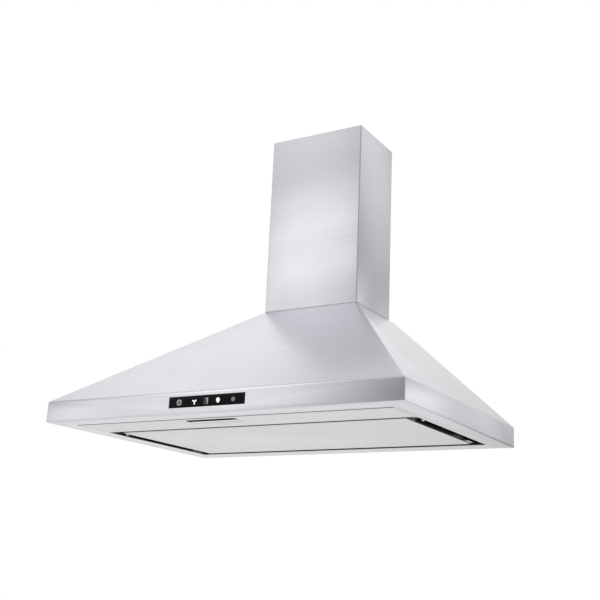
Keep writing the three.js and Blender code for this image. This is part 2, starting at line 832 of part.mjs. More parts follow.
// The bell-mouthed ring on each side wall, through which the air goes in.
function inletRing(side) {
  const face = scrollHalfWidth + seatGap;
  const mouth = inletRadius + inletFlangeWidth + inletSheet;
  const throat = impellerHalfLength + inletThroatGap;
  const points = [
    [inletRadius + inletSheet, throat],
    [inletRadius + inletSheet, face],
    [mouth, face],
    [mouth, face + inletSheet],
    [inletRadius + inletSheet, face + inletSheet],
    [inletRadius, face],
    [inletRadius, throat],
    [inletRadius + inletSheet, throat],
  ];
  const ring = turned(points, 36, alongX, 0, 0);
  const turnedBody = side > 0 ? ring : ring.mirror([1, 0, 0]);
  return turnedBody.translate([0, blowerY, blowerHeight]);
}

function impeller() {
  const middle = impellerRadius - bladeDepth / 2;
  const disc = impellerDisc / 2;
  const bore = shaftRadius + seatGap;
  const ringRear = impellerHalfLength - impellerRing;
  const ringBore = impellerRadius - impellerRingWidth;
  let wheel = rod(0, 0, impellerRadius - overlap, alongX, -disc, disc, 48)
    .add(rod(0, 0, hubRadius, alongX, -disc, hubLength, 20));
  for (const side of [-1, 1]) {
    const ends = [side * impellerHalfLength, side * ringRear];
    const inner = [side * (impellerHalfLength + drillEnd), side * (ringRear - drillEnd)];
    const ring = rod(0, 0, impellerRadius, alongX, ...ends, 48);
    wheel = wheel.add(ring.subtract(rod(0, 0, ringBore, alongX, ...inner, 48)));
  }
  const bladeLength = 2 * (impellerHalfLength - overlap);
  for (let i = 0; i < bladeCount; i += 1) {
    const blade = new THREE.BoxGeometry(bladeLength, bladeDepth, bladeSheet);
    blade.rotateX(bladeLean);
    blade.translate(0, middle, 0);
    blade.rotateX((i / bladeCount) * 2 * Math.PI);
    wheel = wheel.add(solid(blade));
  }
  return wheel
    .subtract(rod(0, 0, bore, alongX, -disc - drillEnd, hubLength + drillEnd, 16))
    .translate([0, blowerY, blowerHeight]);
}

function motorShaft() {
  const ends = [motorFace - shaftEngagement, hubLength + shaftEnd];
  return rod(blowerY, blowerHeight, shaftRadius, alongX, ...ends, 16);
}

function motor() {
  const rear = motorFace - motorLength;
  const bell = motorRadius - motorStep;
  const flat = motorRadius - motorShoulder;
  const points = [
    [0, rear - motorBossLength],
    [motorBossRadius, rear - motorBossLength],
    [motorBossRadius, rear],
    [flat, rear],
    [bell, rear + bell - flat],
    [bell, rear + motorBellLength],
    [motorRadius, rear + motorBellLength],
    [motorRadius, motorFace - motorBellLength],
    [bell, motorFace - motorBellLength],
    [bell, motorFace - motorNoseLength],
    [flat, motorFace],
    [0, motorFace],
  ];
  const bore = [motorFace - shaftEngagement - drillEnd, motorFace + drillEnd];
  return turned(points, 32, alongX, blowerY, blowerHeight)
    .subtract(rod(blowerY, blowerHeight, shaftRadius + pinGap, alongX, ...bore, 16));
}

const footAngles = [80, 200, 320].map((degrees) => (degrees * Math.PI) / 180);
const bracketFace = motorFace - motorLength + bracketSetback;
const footEnd = -(scrollHalfWidth + grommetLength + 2 * seatGap);

function motorBracket() {
  const sheet = [bracketFace, bracketFace + bracketArmSheet];
  const inner = motorRadius - motorStep + seatGap;
  let spider = rod(0, 0, inner + bracketRingWidth, alongX, ...sheet, 32);
  for (const angle of footAngles) {
    const arm = new THREE.BoxGeometry(bracketArmSheet, bracketReach - inner, bracketArmWidth);
    arm.translate(bracketFace + bracketArmSheet / 2, (bracketReach + inner) / 2, 0);
    arm.rotateX(angle);
    const foot = new THREE.BoxGeometry(footEnd - bracketFace, bracketArmWidth, bracketArmWidth);
    foot.translate((footEnd + bracketFace) / 2, bracketReach, 0);
    foot.rotateX(angle);
    spider = spider.add(solid(arm)).add(solid(foot));
  }
  return spider
    .subtract(rod(0, 0, inner, alongX, sheet[0] - drillEnd, sheet[1] + drillEnd, 32))
    .translate([0, blowerY, blowerHeight]);
}

function motorGrommet(angle) {
  const y = blowerY + bracketReach * Math.cos(angle);
  const z = blowerHeight + bracketReach * Math.sin(angle);
  const near = -(scrollHalfWidth + seatGap);
  const radius = bracketArmWidth / 2 - grommetInset;
  return rod(y, z, radius, alongX, near - grommetLength, near, 16);
}

function blowerPlate() {
  const plate = block(
    both(scrollHalfWidth + outletFlange + plateEnd),
    [ductCentre - ductRadius - plateRim, ductCentre + ductRadius + plateRim],
    [plateTop - plateSheet, plateTop],
  );
  const drilled = [plateTop - plateSheet - drillEnd, plateTop + drillEnd];
  return collarScrewHoles(plate.subtract(ductHole(...drilled)), ...drilled);
}

add('blower_plate', blowerPlate(), galvanisedSteel());
add('scroll_half_left', scrollHalf(-1), greyPlastic());
add('scroll_half_right', scrollHalf(1), greyPlastic());
add('inlet_ring_left', inletRing(-1), galvanisedSteel());
add('inlet_ring_right', inletRing(1), galvanisedSteel());
add('impeller', impeller(), blackPlastic());
add('motor_shaft', motorShaft(), zincPlate());
add('motor', motor(), galvanisedSteel());
add('motor_bracket', motorBracket(), zincPlate());
footAngles.forEach((angle, i) => add(`motor_grommet_${i + 1}`, motorGrommet(angle), blackRubber()));

// ---------------------------------------------------------------- collar and damper

function outletCollar() {
  const inner = collarRadius - collarWall;
  const flangeTop = collarFoot + collarFlangeSheet;
  const seatTop = damperZ - damperBarrelRadius - seatGap;
  const top = collarFoot + collarHeight;
  const tab = [ductCentre - collarTabWidth / 2, ductCentre + collarTabWidth / 2];
  const seatHeight = [seatTop - damperSeatSheet, seatTop];
  const bar = [ductCentre - damperBar / 2, ductCentre + damperBar / 2];
  const joined = inner + collarWall / 4;
  const seatBore = [seatTop - openEnd, seatTop + openEnd];
  const bore = rod(0, ductCentre, inner, alongZ, collarFoot - drillEnd, top + drillEnd, 48);
  const seat = rod(0, ductCentre, joined, alongZ, ...seatHeight, 48)
    .subtract(rod(0, ductCentre, inner - damperSeatWidth, alongZ, ...seatBore, 48));
  const crossBar = block(both(joined), bar, [seatHeight[0], damperZ + damperBarRise]);
  let collar = rod(0, ductCentre, collarRadius, alongZ, collarFoot, top, 48)
    .add(rod(0, ductCentre, collarRadius + collarFlangeWidth, alongZ, collarFoot, flangeTop, 48))
    .add(block(both(collarTabReach), tab, [collarFoot, flangeTop]))
    .subtract(bore)
    .add(seat)
    .add(crossBar);
  const socket = damperPinRadius + pinGap;
  for (const offset of [-damperOffset, damperOffset]) {
    const ends = both(inner + damperPinLength);
    collar = collar.subtract(rod(ductCentre + offset, damperZ, socket, alongX, ...ends, 16));
  }
  return collarScrewHoles(collar, collarFoot - drillEnd, flangeTop + drillEnd);
}

// A half-round flap with a barrel on its straight edge and a pin at each end of it.
function damperFlap(side) {
  const axis = ductCentre + side * damperOffset;
  const low = damperZ - damperBarrelRadius;
  const half = damperRadius - damperBarrelGap;
  const pinEnd = collarRadius - collarWall + damperPinLength - 2 * seatGap;
  const disc = rod(0, ductCentre, damperRadius, alongZ, low, low + damperSheet, 40);
  const beyond = block(
    wide,
    [axis, axis + side * 2 * damperRadius],
    [low - drillEnd, low + damperSheet + drillEnd],
  );
  return disc.intersect(beyond)
    .add(rod(axis, damperZ, damperBarrelRadius, alongX, -half, half, 12))
    .add(rod(axis, damperZ, damperPinRadius, alongX, -pinEnd, pinEnd, 12));
}

function collarScrew(side) {
  const seat = collarFoot + collarFlangeSheet + seatGap;
  const x = side * screwSetout;
  return rod(x, ductCentre, screwHeadRadius, alongZ, seat, seat + screwHeadHeight, 16)
    .add(rod(x, ductCentre, screwRadius, alongZ, scrollTop - screwTip, seat + overlap, 12));
}

add('outlet_collar', outletCollar(), blackPlastic());
add('damper_flap_front', damperFlap(-1), greyPlastic());
add('damper_flap_rear', damperFlap(1), greyPlastic());
add('collar_screw_left', collarScrew(-1), zincPlate());
add('collar_screw_right', collarScrew(1), zincPlate());

// ---------------------------------------------------------------- chimney

// A U-shaped cover, open towards the wall, with a narrow return along each rear edge.
function cover(half, front, rear, bottom, top) {
  const rise = [bottom - drillEnd, top + drillEnd];
  return block(both(half), [front, rear], [bottom, top])
    .subtract(block(both(half - bodySheet), [front + bodySheet, rear - bodySheet], rise))
    .subtract(block(both(half - coverReturn), [rear - 2 * bodySheet, rear + openEnd], rise));
}

function lowerCover() {
  const top = chimneyFoot + chimneyHeight;
  return cover(chimneyHalf, -chimneyReach, -chimneyWallGap, chimneyFoot, top);
}

function upperCover() {
  const inset = bodySheet + slideGap;
  const rear = -chimneyWallGap - inset;
  const front = -chimneyReach + inset;
  let sleeve = cover(upperCoverHalf, front, rear, chimneyFoot, upperCoverTop);
  const middle = (front + rear) / 2;
  for (let i = 0; i < ventCount; i += 1) {
    const z = upperCoverTop - ventDrop - i * ventPitch;
    sleeve = sleeve.subtract(block(
      wide,
      [middle - ventLength / 2, middle + ventLength / 2],
      [z - ventWidth / 2, z + ventWidth / 2],
    ));
  }
  return sleeve;
}

// A hat-shaped strap from the wall to the inside of the upper cover's sides.
function wallBracket() {
  const outer = upperCoverHalf - bodySheet - seatGap;
  const neck = upperCoverHalf - coverReturn - wallBracketGap;
  const sheet = wallBracketSheet;
  const front = -wallBracketReach;
  const earRear = -chimneyWallGap - 3 * bodySheet - slideGap - seatGap;
  const right = [
    [neck, 0],
    [neck, front + sheet],
    [outer - sheet, front + sheet],
    [outer - sheet, earRear],
    [outer, earRear],
    [outer, front],
    [neck - sheet, front],
    [neck - sheet, -sheet],
  ];
  const left = right.map(([x, y]) => [-x, y]).reverse();
  const foot = wallBracketTop - wallBracketHeight;
  return prism([...right, ...left].reverse(), alongZ, foot, wallBracketTop);
}

add('chimney_lower_cover', lowerCover(), brushedSteel());
add('chimney_upper_cover', upperCover(), brushedSteel());
add('chimney_wall_bracket', wallBracket(), zincPlate());

// ---------------------------------------------------------------- electrics

const boxFront = panelBack - mainsBoxDepth;
const boxTop = mainsBoxBottom + mainsBoxHeight;
const boxHalf = mainsBoxWidth / 2;
const boxSpan = (inset) => [mainsBoxCentre - boxHalf + inset, mainsBoxCentre + boxHalf - inset];

const glandY = boxFront / 2;

function mainsBox() {
  const rise = [mainsBoxBottom + plasticWall, boxTop - plasticWall];
  const glandHole = [boxTop - openEnd, boxTop + openEnd];
  return block(boxSpan(0), [boxFront, panelBack], [mainsBoxBottom, boxTop])
    .subtract(block(boxSpan(plasticWall), [boxFront - openEnd, panelBack - plasticWall], rise))
    .subtract(rod(mainsBoxCentre, glandY, glandRadius + seatGap, alongZ, ...glandHole));
}

function mainsBoxLid() {
  const rear = boxFront - seatGap;
  return block(boxSpan(0), [rear - lidThickness, rear], [mainsBoxBottom, boxTop]);
}

function cableGland() {
  const foot = boxTop - glandThread;
  const seat = boxTop + seatGap;
  const nutTop = seat + glandNutHeight;
  const top = nutTop + glandCapHeight;
  return rod(mainsBoxCentre, glandY, glandRadius, alongZ, foot, seat + overlap)
    .add(rod(mainsBoxCentre, glandY, glandNutRadius, alongZ, seat, nutTop, 6))
    .add(rod(mainsBoxCentre, glandY, glandCapRadius, alongZ, nutTop - overlap, top))
    .subtract(rod(mainsBoxCentre, glandY, glandBore, alongZ, foot - drillEnd, top + drillEnd, 12));
}

function runCapacitor() {
  const top = capacitorBottom + capacitorHeight;
  const points = [
    [0, capacitorBottom],
    [capacitorRadius - capacitorEdge, capacitorBottom],
    [capacitorRadius, capacitorBottom + capacitorEdge],
    [capacitorRadius, top - capacitorCrimp],
    [capacitorRadius - capacitorShoulder, top],
    [0, top],
  ];
  return turned(points, 24, alongZ, capacitorCentre, capacitorY);
}

const clipRadius = capacitorRadius + seatGap + clipSheet;
const capacitorY = panelBack - clipRadius - clipStandoff;

function capacitorClip() {
  const middle = capacitorBottom + capacitorHeight / 2;
  const rise = [middle - clipHeight / 2, middle + clipHeight / 2];
  const x = capacitorCentre;
  const reach = clipRadius + clipEar;
  const bored = [rise[0] - drillEnd, rise[1] + drillEnd];
  return rod(x, capacitorY, clipRadius, alongZ, ...rise, 24)
    .add(block([x - reach, x + reach], [panelBack - clipSheet, panelBack], rise))
    .subtract(rod(x, capacitorY, capacitorRadius + seatGap, alongZ, ...bored, 24));
}

// The control lead leaves the housing, lies on the tray beside the filters and ends at the
// mains box.
function controlHarness() {
  const rest = trayHeight + harnessRadius + harnessLift;
  const beside = -(filterReach + trayInner) / 2;
  const start = [glassCentre, controlBack + seatGap, glassBottom + glassHeight / 2];
  const lidFace = boxFront - 2 * seatGap - lidThickness;
  const end = [mainsBoxCentre, lidFace, mainsBoxBottom + leadEntry];
  return lead([
    start,
    [start[0], start[1] + 10, start[2]],
    [start[0] - 40, start[1] + 50, rest + 3],
    [beside + 60, openFront - 10, rest + 2],
    [beside, openFront + 50, rest],
    [beside, filterRear - 60, rest],
    [beside + 45, filterRear + 5, rest],
    [end[0] - 12, end[1] - 18, rest + 8],
    [end[0], end[1] - 10, end[2]],
    end,
  ], harnessRadius, 48);
}

// The motor lead runs from the motor's rear to the side of the mains box.
function motorLead() {
  const motorEnd = motorFace - motorLength - motorBossLength;
  const start = [motorEnd - seatGap, blowerY, blowerHeight];
  const boxSide = boxSpan(0)[1] + seatGap;
  const end = [boxSide, glandY, boxTop - leadEntry];
  return lead([
    start,
    [start[0] - 12, start[1], start[2]],
    [start[0] - 16, start[1] + 40, start[2] - 18],
    [end[0] + 12, end[1] - 40, end[2] + 14],
    [end[0] + 14, end[1], end[2]],
    end,
  ], harnessRadius, 24);
}

add('mains_box', mainsBox(), greyPlastic());
add('mains_box_lid', mainsBoxLid(), greyPlastic());
add('cable_gland', cableGland(), blackPlastic());
add('run_capacitor', runCapacitor(), filterAluminium());
add('capacitor_clip', capacitorClip(), zincPlate());
add('control_harness', controlHarness(), blackRubber());
add('motor_lead', motorLead(), blackRubber());

hood.position.z = -hangHeight;

export default hood;
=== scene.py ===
"""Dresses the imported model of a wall-hung chimney range hood for a studio picture."""

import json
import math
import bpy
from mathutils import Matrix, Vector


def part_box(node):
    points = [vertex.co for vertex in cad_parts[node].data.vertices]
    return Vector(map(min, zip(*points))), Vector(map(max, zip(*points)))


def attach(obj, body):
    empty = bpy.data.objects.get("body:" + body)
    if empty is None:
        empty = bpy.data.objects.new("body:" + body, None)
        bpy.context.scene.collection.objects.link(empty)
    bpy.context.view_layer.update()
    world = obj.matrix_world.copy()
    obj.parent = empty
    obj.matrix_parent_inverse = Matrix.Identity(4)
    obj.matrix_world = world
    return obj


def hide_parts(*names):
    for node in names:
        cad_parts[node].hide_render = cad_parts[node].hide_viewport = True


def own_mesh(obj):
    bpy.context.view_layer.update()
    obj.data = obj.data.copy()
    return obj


bl_info = {
    "name": "Chimney Range Hood",
    "version": (1, 0, 0),
    "blender": (4, 5, 0),
    "location": "3D View > Sidebar > Range Hood",
    "description": "Builds the visible finish of a wall-hung chimney range hood around its model",
    "category": "Object",
}

import bmesh
import bpy
from bpy.props import FloatProperty, FloatVectorProperty, PointerProperty
from mathutils import Matrix, Vector

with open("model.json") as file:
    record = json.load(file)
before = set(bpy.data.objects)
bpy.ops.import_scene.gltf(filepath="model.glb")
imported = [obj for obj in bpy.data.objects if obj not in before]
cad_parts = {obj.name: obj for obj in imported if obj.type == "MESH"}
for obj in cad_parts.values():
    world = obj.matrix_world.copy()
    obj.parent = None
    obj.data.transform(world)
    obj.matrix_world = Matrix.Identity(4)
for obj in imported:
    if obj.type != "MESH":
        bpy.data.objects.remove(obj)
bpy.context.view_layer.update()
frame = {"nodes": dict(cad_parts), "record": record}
NODES = frame["nodes"]
SLOT_OF = {row["node"]: row["material_slot"] for row in frame["record"]["subparts"]}
BODY_OF = {node: body for body, group in frame["record"]["behaviour"]["bodies"].items() for node in group}

MM = 0.001
SIDES = (("left", -1), ("right", 1))


# ------------------------------------------------------------------ sizes read from the frame


def centre(node):
    """The middle of a node's box."""
    low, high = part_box(node)
    return (low + high) / 2


CANOPY_LOW, CANOPY_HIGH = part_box("canopy_shell")
CHIMNEY_LOW, CHIMNEY_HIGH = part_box("chimney_lower_cover")
RIM = CANOPY_LOW.z
SEAT_GAP = 0.3 * MM              # between pieces that rest on each other or in a window


# ------------------------------------------------------------------ settings


class HoodShape(bpy.types.PropertyGroup):
    """Sizes of the visible sheet metal that the frame's boxes don't give."""

    band_height: FloatProperty(
        name="Band Height", description="Height of the upright band", default=0.040, unit="LENGTH"
    )
    side_flange: FloatProperty(
        name="Side Flange", description="Width of the flanges under the sides", default=0.040, unit="LENGTH"
    )
    front_flange: FloatProperty(
        name="Front Flange", description="Depth of the flange under the front", default=0.042, unit="LENGTH"
    )
    sheet: FloatProperty(
        name="Sheet", description="Thickness of the steel sheet", default=0.001, unit="LENGTH"
    )
    fold_radius: FloatProperty(
        name="Fold Radius", description="Outer radius of the folds", default=0.0022, unit="LENGTH"
    )
    pan_radius: FloatProperty(
        name="Pan Radius", description="Outer radius of the suction panel's folds",
        default=0.0009, unit="LENGTH",
    )
    seam: FloatProperty(
        name="Seam", description="Groove between the front flange and the front strip",
        default=0.0050, unit="LENGTH",
    )
    mesh_pitch: FloatProperty(
        name="Mesh Pitch", description="Spacing of the filter strands", default=0.0046, unit="LENGTH"
    )
    key_size: FloatProperty(
        name="Key Size", description="Height of the marks on the glass", default=0.0105, unit="LENGTH"
    )


class HoodFinish(bpy.types.PropertyGroup):
    """Colours of the finishes."""

    steel: FloatVectorProperty(
        name="Brushed Steel", description="Outer steel", subtype="COLOR", default=(0.732, 0.725, 0.765)
    )
    under_steel: FloatVectorProperty(
        name="Underside Steel", description="Steel underneath", subtype="COLOR", default=(0.74, 0.715, 0.725)
    )
    glass: FloatVectorProperty(
        name="Control Glass", description="Printed glass", subtype="COLOR", default=(0.0035, 0.0035, 0.0045)
    )
    marks: FloatVectorProperty(
        name="Key Marks", description="Lit marks on the glass", subtype="COLOR", default=(0.85, 0.87, 0.9)
    )


class HoodStage(bpy.types.PropertyGroup):
    """Camera, lamps and surroundings."""

    focal_length: FloatProperty(
        name="Focal Length", description="Lens on a 36 mm sensor", default=60.55, unit="CAMERA"
    )
    camera_place: FloatVectorProperty(
        name="Camera Place", description="Where the camera stands", subtype="TRANSLATION",
        default=(1.0197, -1.9309, -0.4799),
    )
    camera_yaw: FloatProperty(
        name="Camera Yaw", description="Turn to the left", default=math.radians(30.8), subtype="ANGLE"
    )
    camera_pitch: FloatProperty(
        name="Camera Pitch", description="Tilt upwards", default=math.radians(16.1), subtype="ANGLE"
    )
    camera_roll: FloatProperty(
        name="Camera Roll", description="Turn round the line of sight", default=math.radians(-2.5),
        subtype="ANGLE",
    )
    soft_light: FloatProperty(
        name="Soft Light", description="Even light from all round on matt surfaces", default=0.8, min=0.0
    )
    gloss_light: FloatProperty(
        name="Gloss Light", description="Lowest light that glossy surfaces reflect", default=0.18, min=0.0
    )
    mirrored_floor: FloatProperty(
        name="Mirrored Floor", description="Brightness of the floor where metal mirrors it", default=0.91,
        min=0.0,
    )
    floor_drop: FloatProperty(
        name="Floor Drop", description="From the hood's rim to the floor", default=1.6, unit="LENGTH"
    )


# ------------------------------------------------------------------ node helpers


class Graph:
    """Adds nodes to a tree, with their settings and inputs in one call."""

    def __init__(self, tree):
        self.tree = tree

    def add(self, kind, inputs=None, **settings):
        node = self.tree.nodes.new(kind)
        for key, value in settings.items():
            setattr(node, key, value)
        for key, value in (inputs or {}).items():
            if isinstance(value, bpy.types.NodeSocket):
                self.link(value, node.inputs[key])
            else:
                node.inputs[key].default_value = value
        return node

    def link(self, value, socket):
        self.tree.links.new(value, socket)

    def math(self, operation, first, second=0.0):
        return self.add("ShaderNodeMath", {0: first, 1: second}, operation=operation).outputs[0]

    def blend(self, share, first, second):
        inputs = {0: share, 2: first, 3: second}
        return self.add("ShaderNodeMix", inputs, data_type="FLOAT").outputs[0]

    def remap(self, value, low, high, to_low, to_high):
        inputs = {"Value": value, "From Min": low, "From Max": high, "To Min": to_low, "To Max": to_high}
        return self.add("ShaderNodeMapRange", inputs).outputs["Result"]

    def noise(self, at, scale, detail, roughness=0.5):
        inputs = {"Vector": at, "Scale": scale, "Detail": detail, "Roughness": roughness}
        return self.add("ShaderNodeTexNoise", inputs).outputs["Fac"]


def new_group(name, inputs, outputs):
    """A shader node group with float inputs, given with their defaults, and float outputs."""
    tree = bpy.data.node_groups.new(name, "ShaderNodeTree")
    for label, default in inputs.items():
        socket = tree.interface.new_socket(label, in_out="INPUT", socket_type="NodeSocketFloat")
        socket.default_value = default
    for label in outputs:
        tree.interface.new_socket(label, in_out="OUTPUT", socket_type="NodeSocketFloat")
    graph = Graph(tree)
    entry = graph.add("NodeGroupInput")
    leave = graph.add("NodeGroupOutput")
    return tree, graph, entry.outputs, leave.inputs


# A face counts as sideways or level when its normal leans this far along X or Z.
SIDEWAYS_LEAN = 0.5
LEVEL_LEAN = 0.93
# The broad streaks are this much sparser and longer than the fine lines.
BROAD_DENSITY = 0.12
BROAD_STRETCH = 0.35


def brushed_grain():
    """Fine brushing that runs level on every face: along X, or along Y on faces that look sideways."""
    name = "Brushed Grain"
    if name in bpy.data.node_groups:
        return bpy.data.node_groups[name]
    tree, graph, given, result = new_group(
        name, {"Lines per Metre": 1800.0, "Line Length": 0.09}, ("Fine", "Broad", "Height")
    )
    coordinates = graph.add("ShaderNodeTexCoord").outputs
    place = graph.add("ShaderNodeSeparateXYZ", {0: coordinates["Object"]}).outputs
    facing = graph.add("ShaderNodeSeparateXYZ", {0: coordinates["Normal"]}).outputs
    sideways = graph.math("GREATER_THAN", graph.math("ABSOLUTE", facing["X"]), SIDEWAYS_LEAN)
    level = graph.math("GREATER_THAN", graph.math("ABSOLUTE", facing["Z"]), LEVEL_LEAN)
    along = graph.blend(sideways, place["X"], place["Y"])
    across = graph.blend(level, place["Z"], place["Y"])
    stretched = graph.math("DIVIDE", along, given["Line Length"])
    dense = graph.math("MULTIPLY", across, given["Lines per Metre"])
    fine_at = graph.add("ShaderNodeCombineXYZ", {0: stretched, 1: dense, 2: sideways}).outputs[0]
    fine = graph.noise(fine_at, 1.0, 3.0, 0.6)
    slow = graph.math("MULTIPLY", dense, BROAD_DENSITY)
    long = graph.math("MULTIPLY", stretched, BROAD_STRETCH)
    broad_at = graph.add("ShaderNodeCombineXYZ", {0: long, 1: slow, 2: level}).outputs[0]
    broad = graph.noise(broad_at, 1.0, 2.0)
    graph.link(fine, result["Fine"])
    graph.link(broad, result["Broad"])
    graph.link(graph.math("ADD", fine, broad), result["Height"])
    return tree


def noise_group(name, size, detail, roughness, output):
    """A group that puts out one noise in the object's own space, with patches of about its Size."""
    if name in bpy.data.node_groups:
        return bpy.data.node_groups[name]
    tree, graph, given, result = new_group(name, {"Size": size}, (output,))
    at = graph.add("ShaderNodeTexCoord").outputs["Object"]
    scale = graph.math("DIVIDE", 1.0, given["Size"])
    graph.link(graph.noise(at, scale, detail, roughness), result[output])
    return tree


def handling_marks():
    """Soft, cloudy differences of gloss, as on sheet that has been wiped and handled."""
    return noise_group("Handling Marks", 0.12, 4.0, 0.55, "Cloud")


def moulded_grain():
    """The fine spark-eroded texture of a plastic moulding."""
    return noise_group("Moulded Grain", 0.0008, 3.0, 0.7, "Grain")


# ------------------------------------------------------------------ materials


def new_material(name):
    """A material with an empty tree, a Principled BSDF and an output."""
    made = bpy.data.materials.new(name)
    made.use_nodes = True
    made.node_tree.nodes.clear()
    graph = Graph(made.node_tree)
    shader = graph.add("ShaderNodeBsdfPrincipled")
    surface = {"Surface": shader.outputs[0]}
    graph.add("ShaderNodeOutputMaterial", surface)
    return made, graph, shader.inputs


def use_group(graph, tree, **inputs):
    """Places a group in a material, with some of its inputs set."""
    named = {key.replace("_", " "): value for key, value in inputs.items()}
    return graph.add("ShaderNodeGroup", named, node_tree=tree).outputs


# The middle of a noise's range, where most of its values lie, for tints and for gloss.
TINT_SPAN = (0.25, 0.75)
GLOSS_SPAN = (0.3, 0.7)


def tinted(graph, colour, value, spread):
    """The colour, lighter and darker by a share as value runs through its usual range."""
    shade = graph.remap(value, *TINT_SPAN, 1.0 - spread, 1.0 + spread)
    base = graph.add("ShaderNodeRGB")
    base.outputs[0].default_value = (*colour, 1.0)
    inputs = {0: base.outputs[0], "Scale": shade}
    return graph.add("ShaderNodeVectorMath", inputs, operation="SCALE").outputs[0]


def link_tint(graph, sockets, colour, value, spread):
    graph.link(tinted(graph, colour, value, spread), sockets["Base Color"])


def link_roughness(graph, sockets, value, low, high):
    """Roughness from low to high as value runs through its usual range."""
    graph.link(graph.remap(value, *GLOSS_SPAN, low, high), sockets["Roughness"])


def link_bump(graph, sockets, height, distance):
    bump = graph.add("ShaderNodeBump", {"Height": height, "Distance": distance})
    graph.link(bump.outputs[0], sockets["Normal"])


def brushed_steel(name, colour, roughness):
    """Brushed sheet: its lines differ in tint, gloss and height, and its wiped patches in gloss."""
    made, graph, sockets = new_material(name)
    grain = use_group(graph, brushed_grain())
    cloud = use_group(graph, handling_marks())["Cloud"]
    broad = graph.math("MULTIPLY", grain["Broad"], 0.6)
    fine = graph.math("MULTIPLY", grain["Fine"], 0.4)
    link_tint(graph, sockets, colour, graph.math("ADD", broad, fine), 0.045)
    streaked = graph.remap(grain["Fine"], *GLOSS_SPAN, roughness - 0.04, roughness + 0.04)
    wiped = graph.remap(cloud, *GLOSS_SPAN, -0.02, 0.02)
    graph.link(graph.math("ADD", streaked, wiped), sockets["Roughness"])
    sockets["Metallic"].default_value = 1.0
    link_bump(graph, sockets, grain["Height"], 0.006 * MM)
    return made


def sheet_metal(name, colour, roughness, spangle):
    """Galvanised or zinc-plated sheet, with its crystals as faint patches."""
    made, graph, sockets = new_material(name)
    at = graph.add("ShaderNodeTexCoord").outputs["Object"]
    cells = graph.add("ShaderNodeTexVoronoi", {"Vector": at, "Scale": spangle, "Randomness": 1.0})
    patch = graph.add("ShaderNodeSeparateColor", {0: cells.outputs["Color"]}).outputs[0]
    link_tint(graph, sockets, colour, patch, 0.06)
    shine = graph.remap(patch, 0.0, 1.0, roughness - 0.06, roughness + 0.06)
    graph.link(shine, sockets["Roughness"])
    sockets["Metallic"].default_value = 1.0
    grain = use_group(graph, moulded_grain())["Grain"]
    link_bump(graph, sockets, grain, 0.03 * MM)
    return made


def plastic(name, colour, roughness, texture):
    """A moulding with a fine texture and slightly cloudy colour. Rubber is made this way too."""
    made, graph, sockets = new_material(name)
    grain = use_group(graph, moulded_grain())["Grain"]
    cloud = use_group(graph, handling_marks())["Cloud"]
    link_tint(graph, sockets, colour, cloud, 0.06)
    link_roughness(graph, sockets, grain, roughness - 0.05, roughness + 0.05)
    link_bump(graph, sockets, grain, texture)
    return made


def control_glass_material(colour):
    """Glass with a dark print behind it, faintly smeared."""
    made, graph, sockets = new_material("Control Glass")
    cloud = use_group(graph, handling_marks(), Size=0.03)["Cloud"]
    link_tint(graph, sockets, colour, cloud, 0.1)
    link_roughness(graph, sockets, cloud, 0.06, 0.1)
    sockets["Specular IOR Level"].default_value = 0.07
    return made


def black_enamel_and_gap_shade_material():
    """Stove enamel, with the slight orange peel that it dries to. Its near-black is partly painted shade,
    standing for the shade seen in the gaps round the suction panel.
    """
    made, graph, sockets = new_material("Black Enamel and Gap Shade")
    peel = use_group(graph, moulded_grain(), Size=0.004)["Grain"]
    cloud = use_group(graph, handling_marks())["Cloud"]
    # Near-black: enamel, and painted shade for the gaps round the suction panel.
    link_tint(graph, sockets, (0.018, 0.018, 0.02), cloud, 0.12)
    link_roughness(graph, sockets, cloud, 0.36, 0.46)
    sockets["Specular IOR Level"].default_value = 0.35
    link_bump(graph, sockets, peel, 0.05 * MM)
    return made


def lit_mark(name, colour, strength):
    """A printed mark that glows a little through the glass."""
    made, graph, sockets = new_material(name)
    grain = use_group(graph, moulded_grain(), Size=0.0012)["Grain"]
    lit = tinted(graph, colour, grain, 0.04)
    graph.link(lit, sockets["Base Color"])
    graph.link(lit, sockets["Emission Color"])
    sockets["Emission Strength"].default_value = strength
    sockets["Roughness"].default_value = 0.4
    return made


def circuit_board_material():
    """Solder resist with the tracks showing faintly under it."""
    made, graph, sockets = new_material("Circuit Board")
    at = graph.add("ShaderNodeTexCoord").outputs["Object"]
    tracks = graph.add(
        "ShaderNodeTexBrick",
        {"Vector": at, "Scale": 260.0, "Mortar Size": 0.03, "Color1": (0.03, 0.13, 0.06, 1),
         "Color2": (0.03, 0.11, 0.05, 1), "Mortar": (0.08, 0.22, 0.11, 1)},
    )
    graph.link(tracks.outputs["Color"], sockets["Base Color"])
    sockets["Roughness"].default_value = 0.35
    link_bump(graph, sockets, tracks.outputs["Fac"], 0.04 * MM)
    return made


def frosted_lens_material():
    """Milky plastic with a fine frosting and a faint gloss over it."""
    made, graph, sockets = new_material("Frosted Lens")
    grain = use_group(graph, moulded_grain())["Grain"]
    link_tint(graph, sockets, (0.8, 0.8, 0.78), grain, 0.03)
    link_roughness(graph, sockets, grain, 0.3, 0.42)
    sockets["Coat Weight"].default_value = 0.2
    link_bump(graph, sockets, grain, 0.03 * MM)
    return made


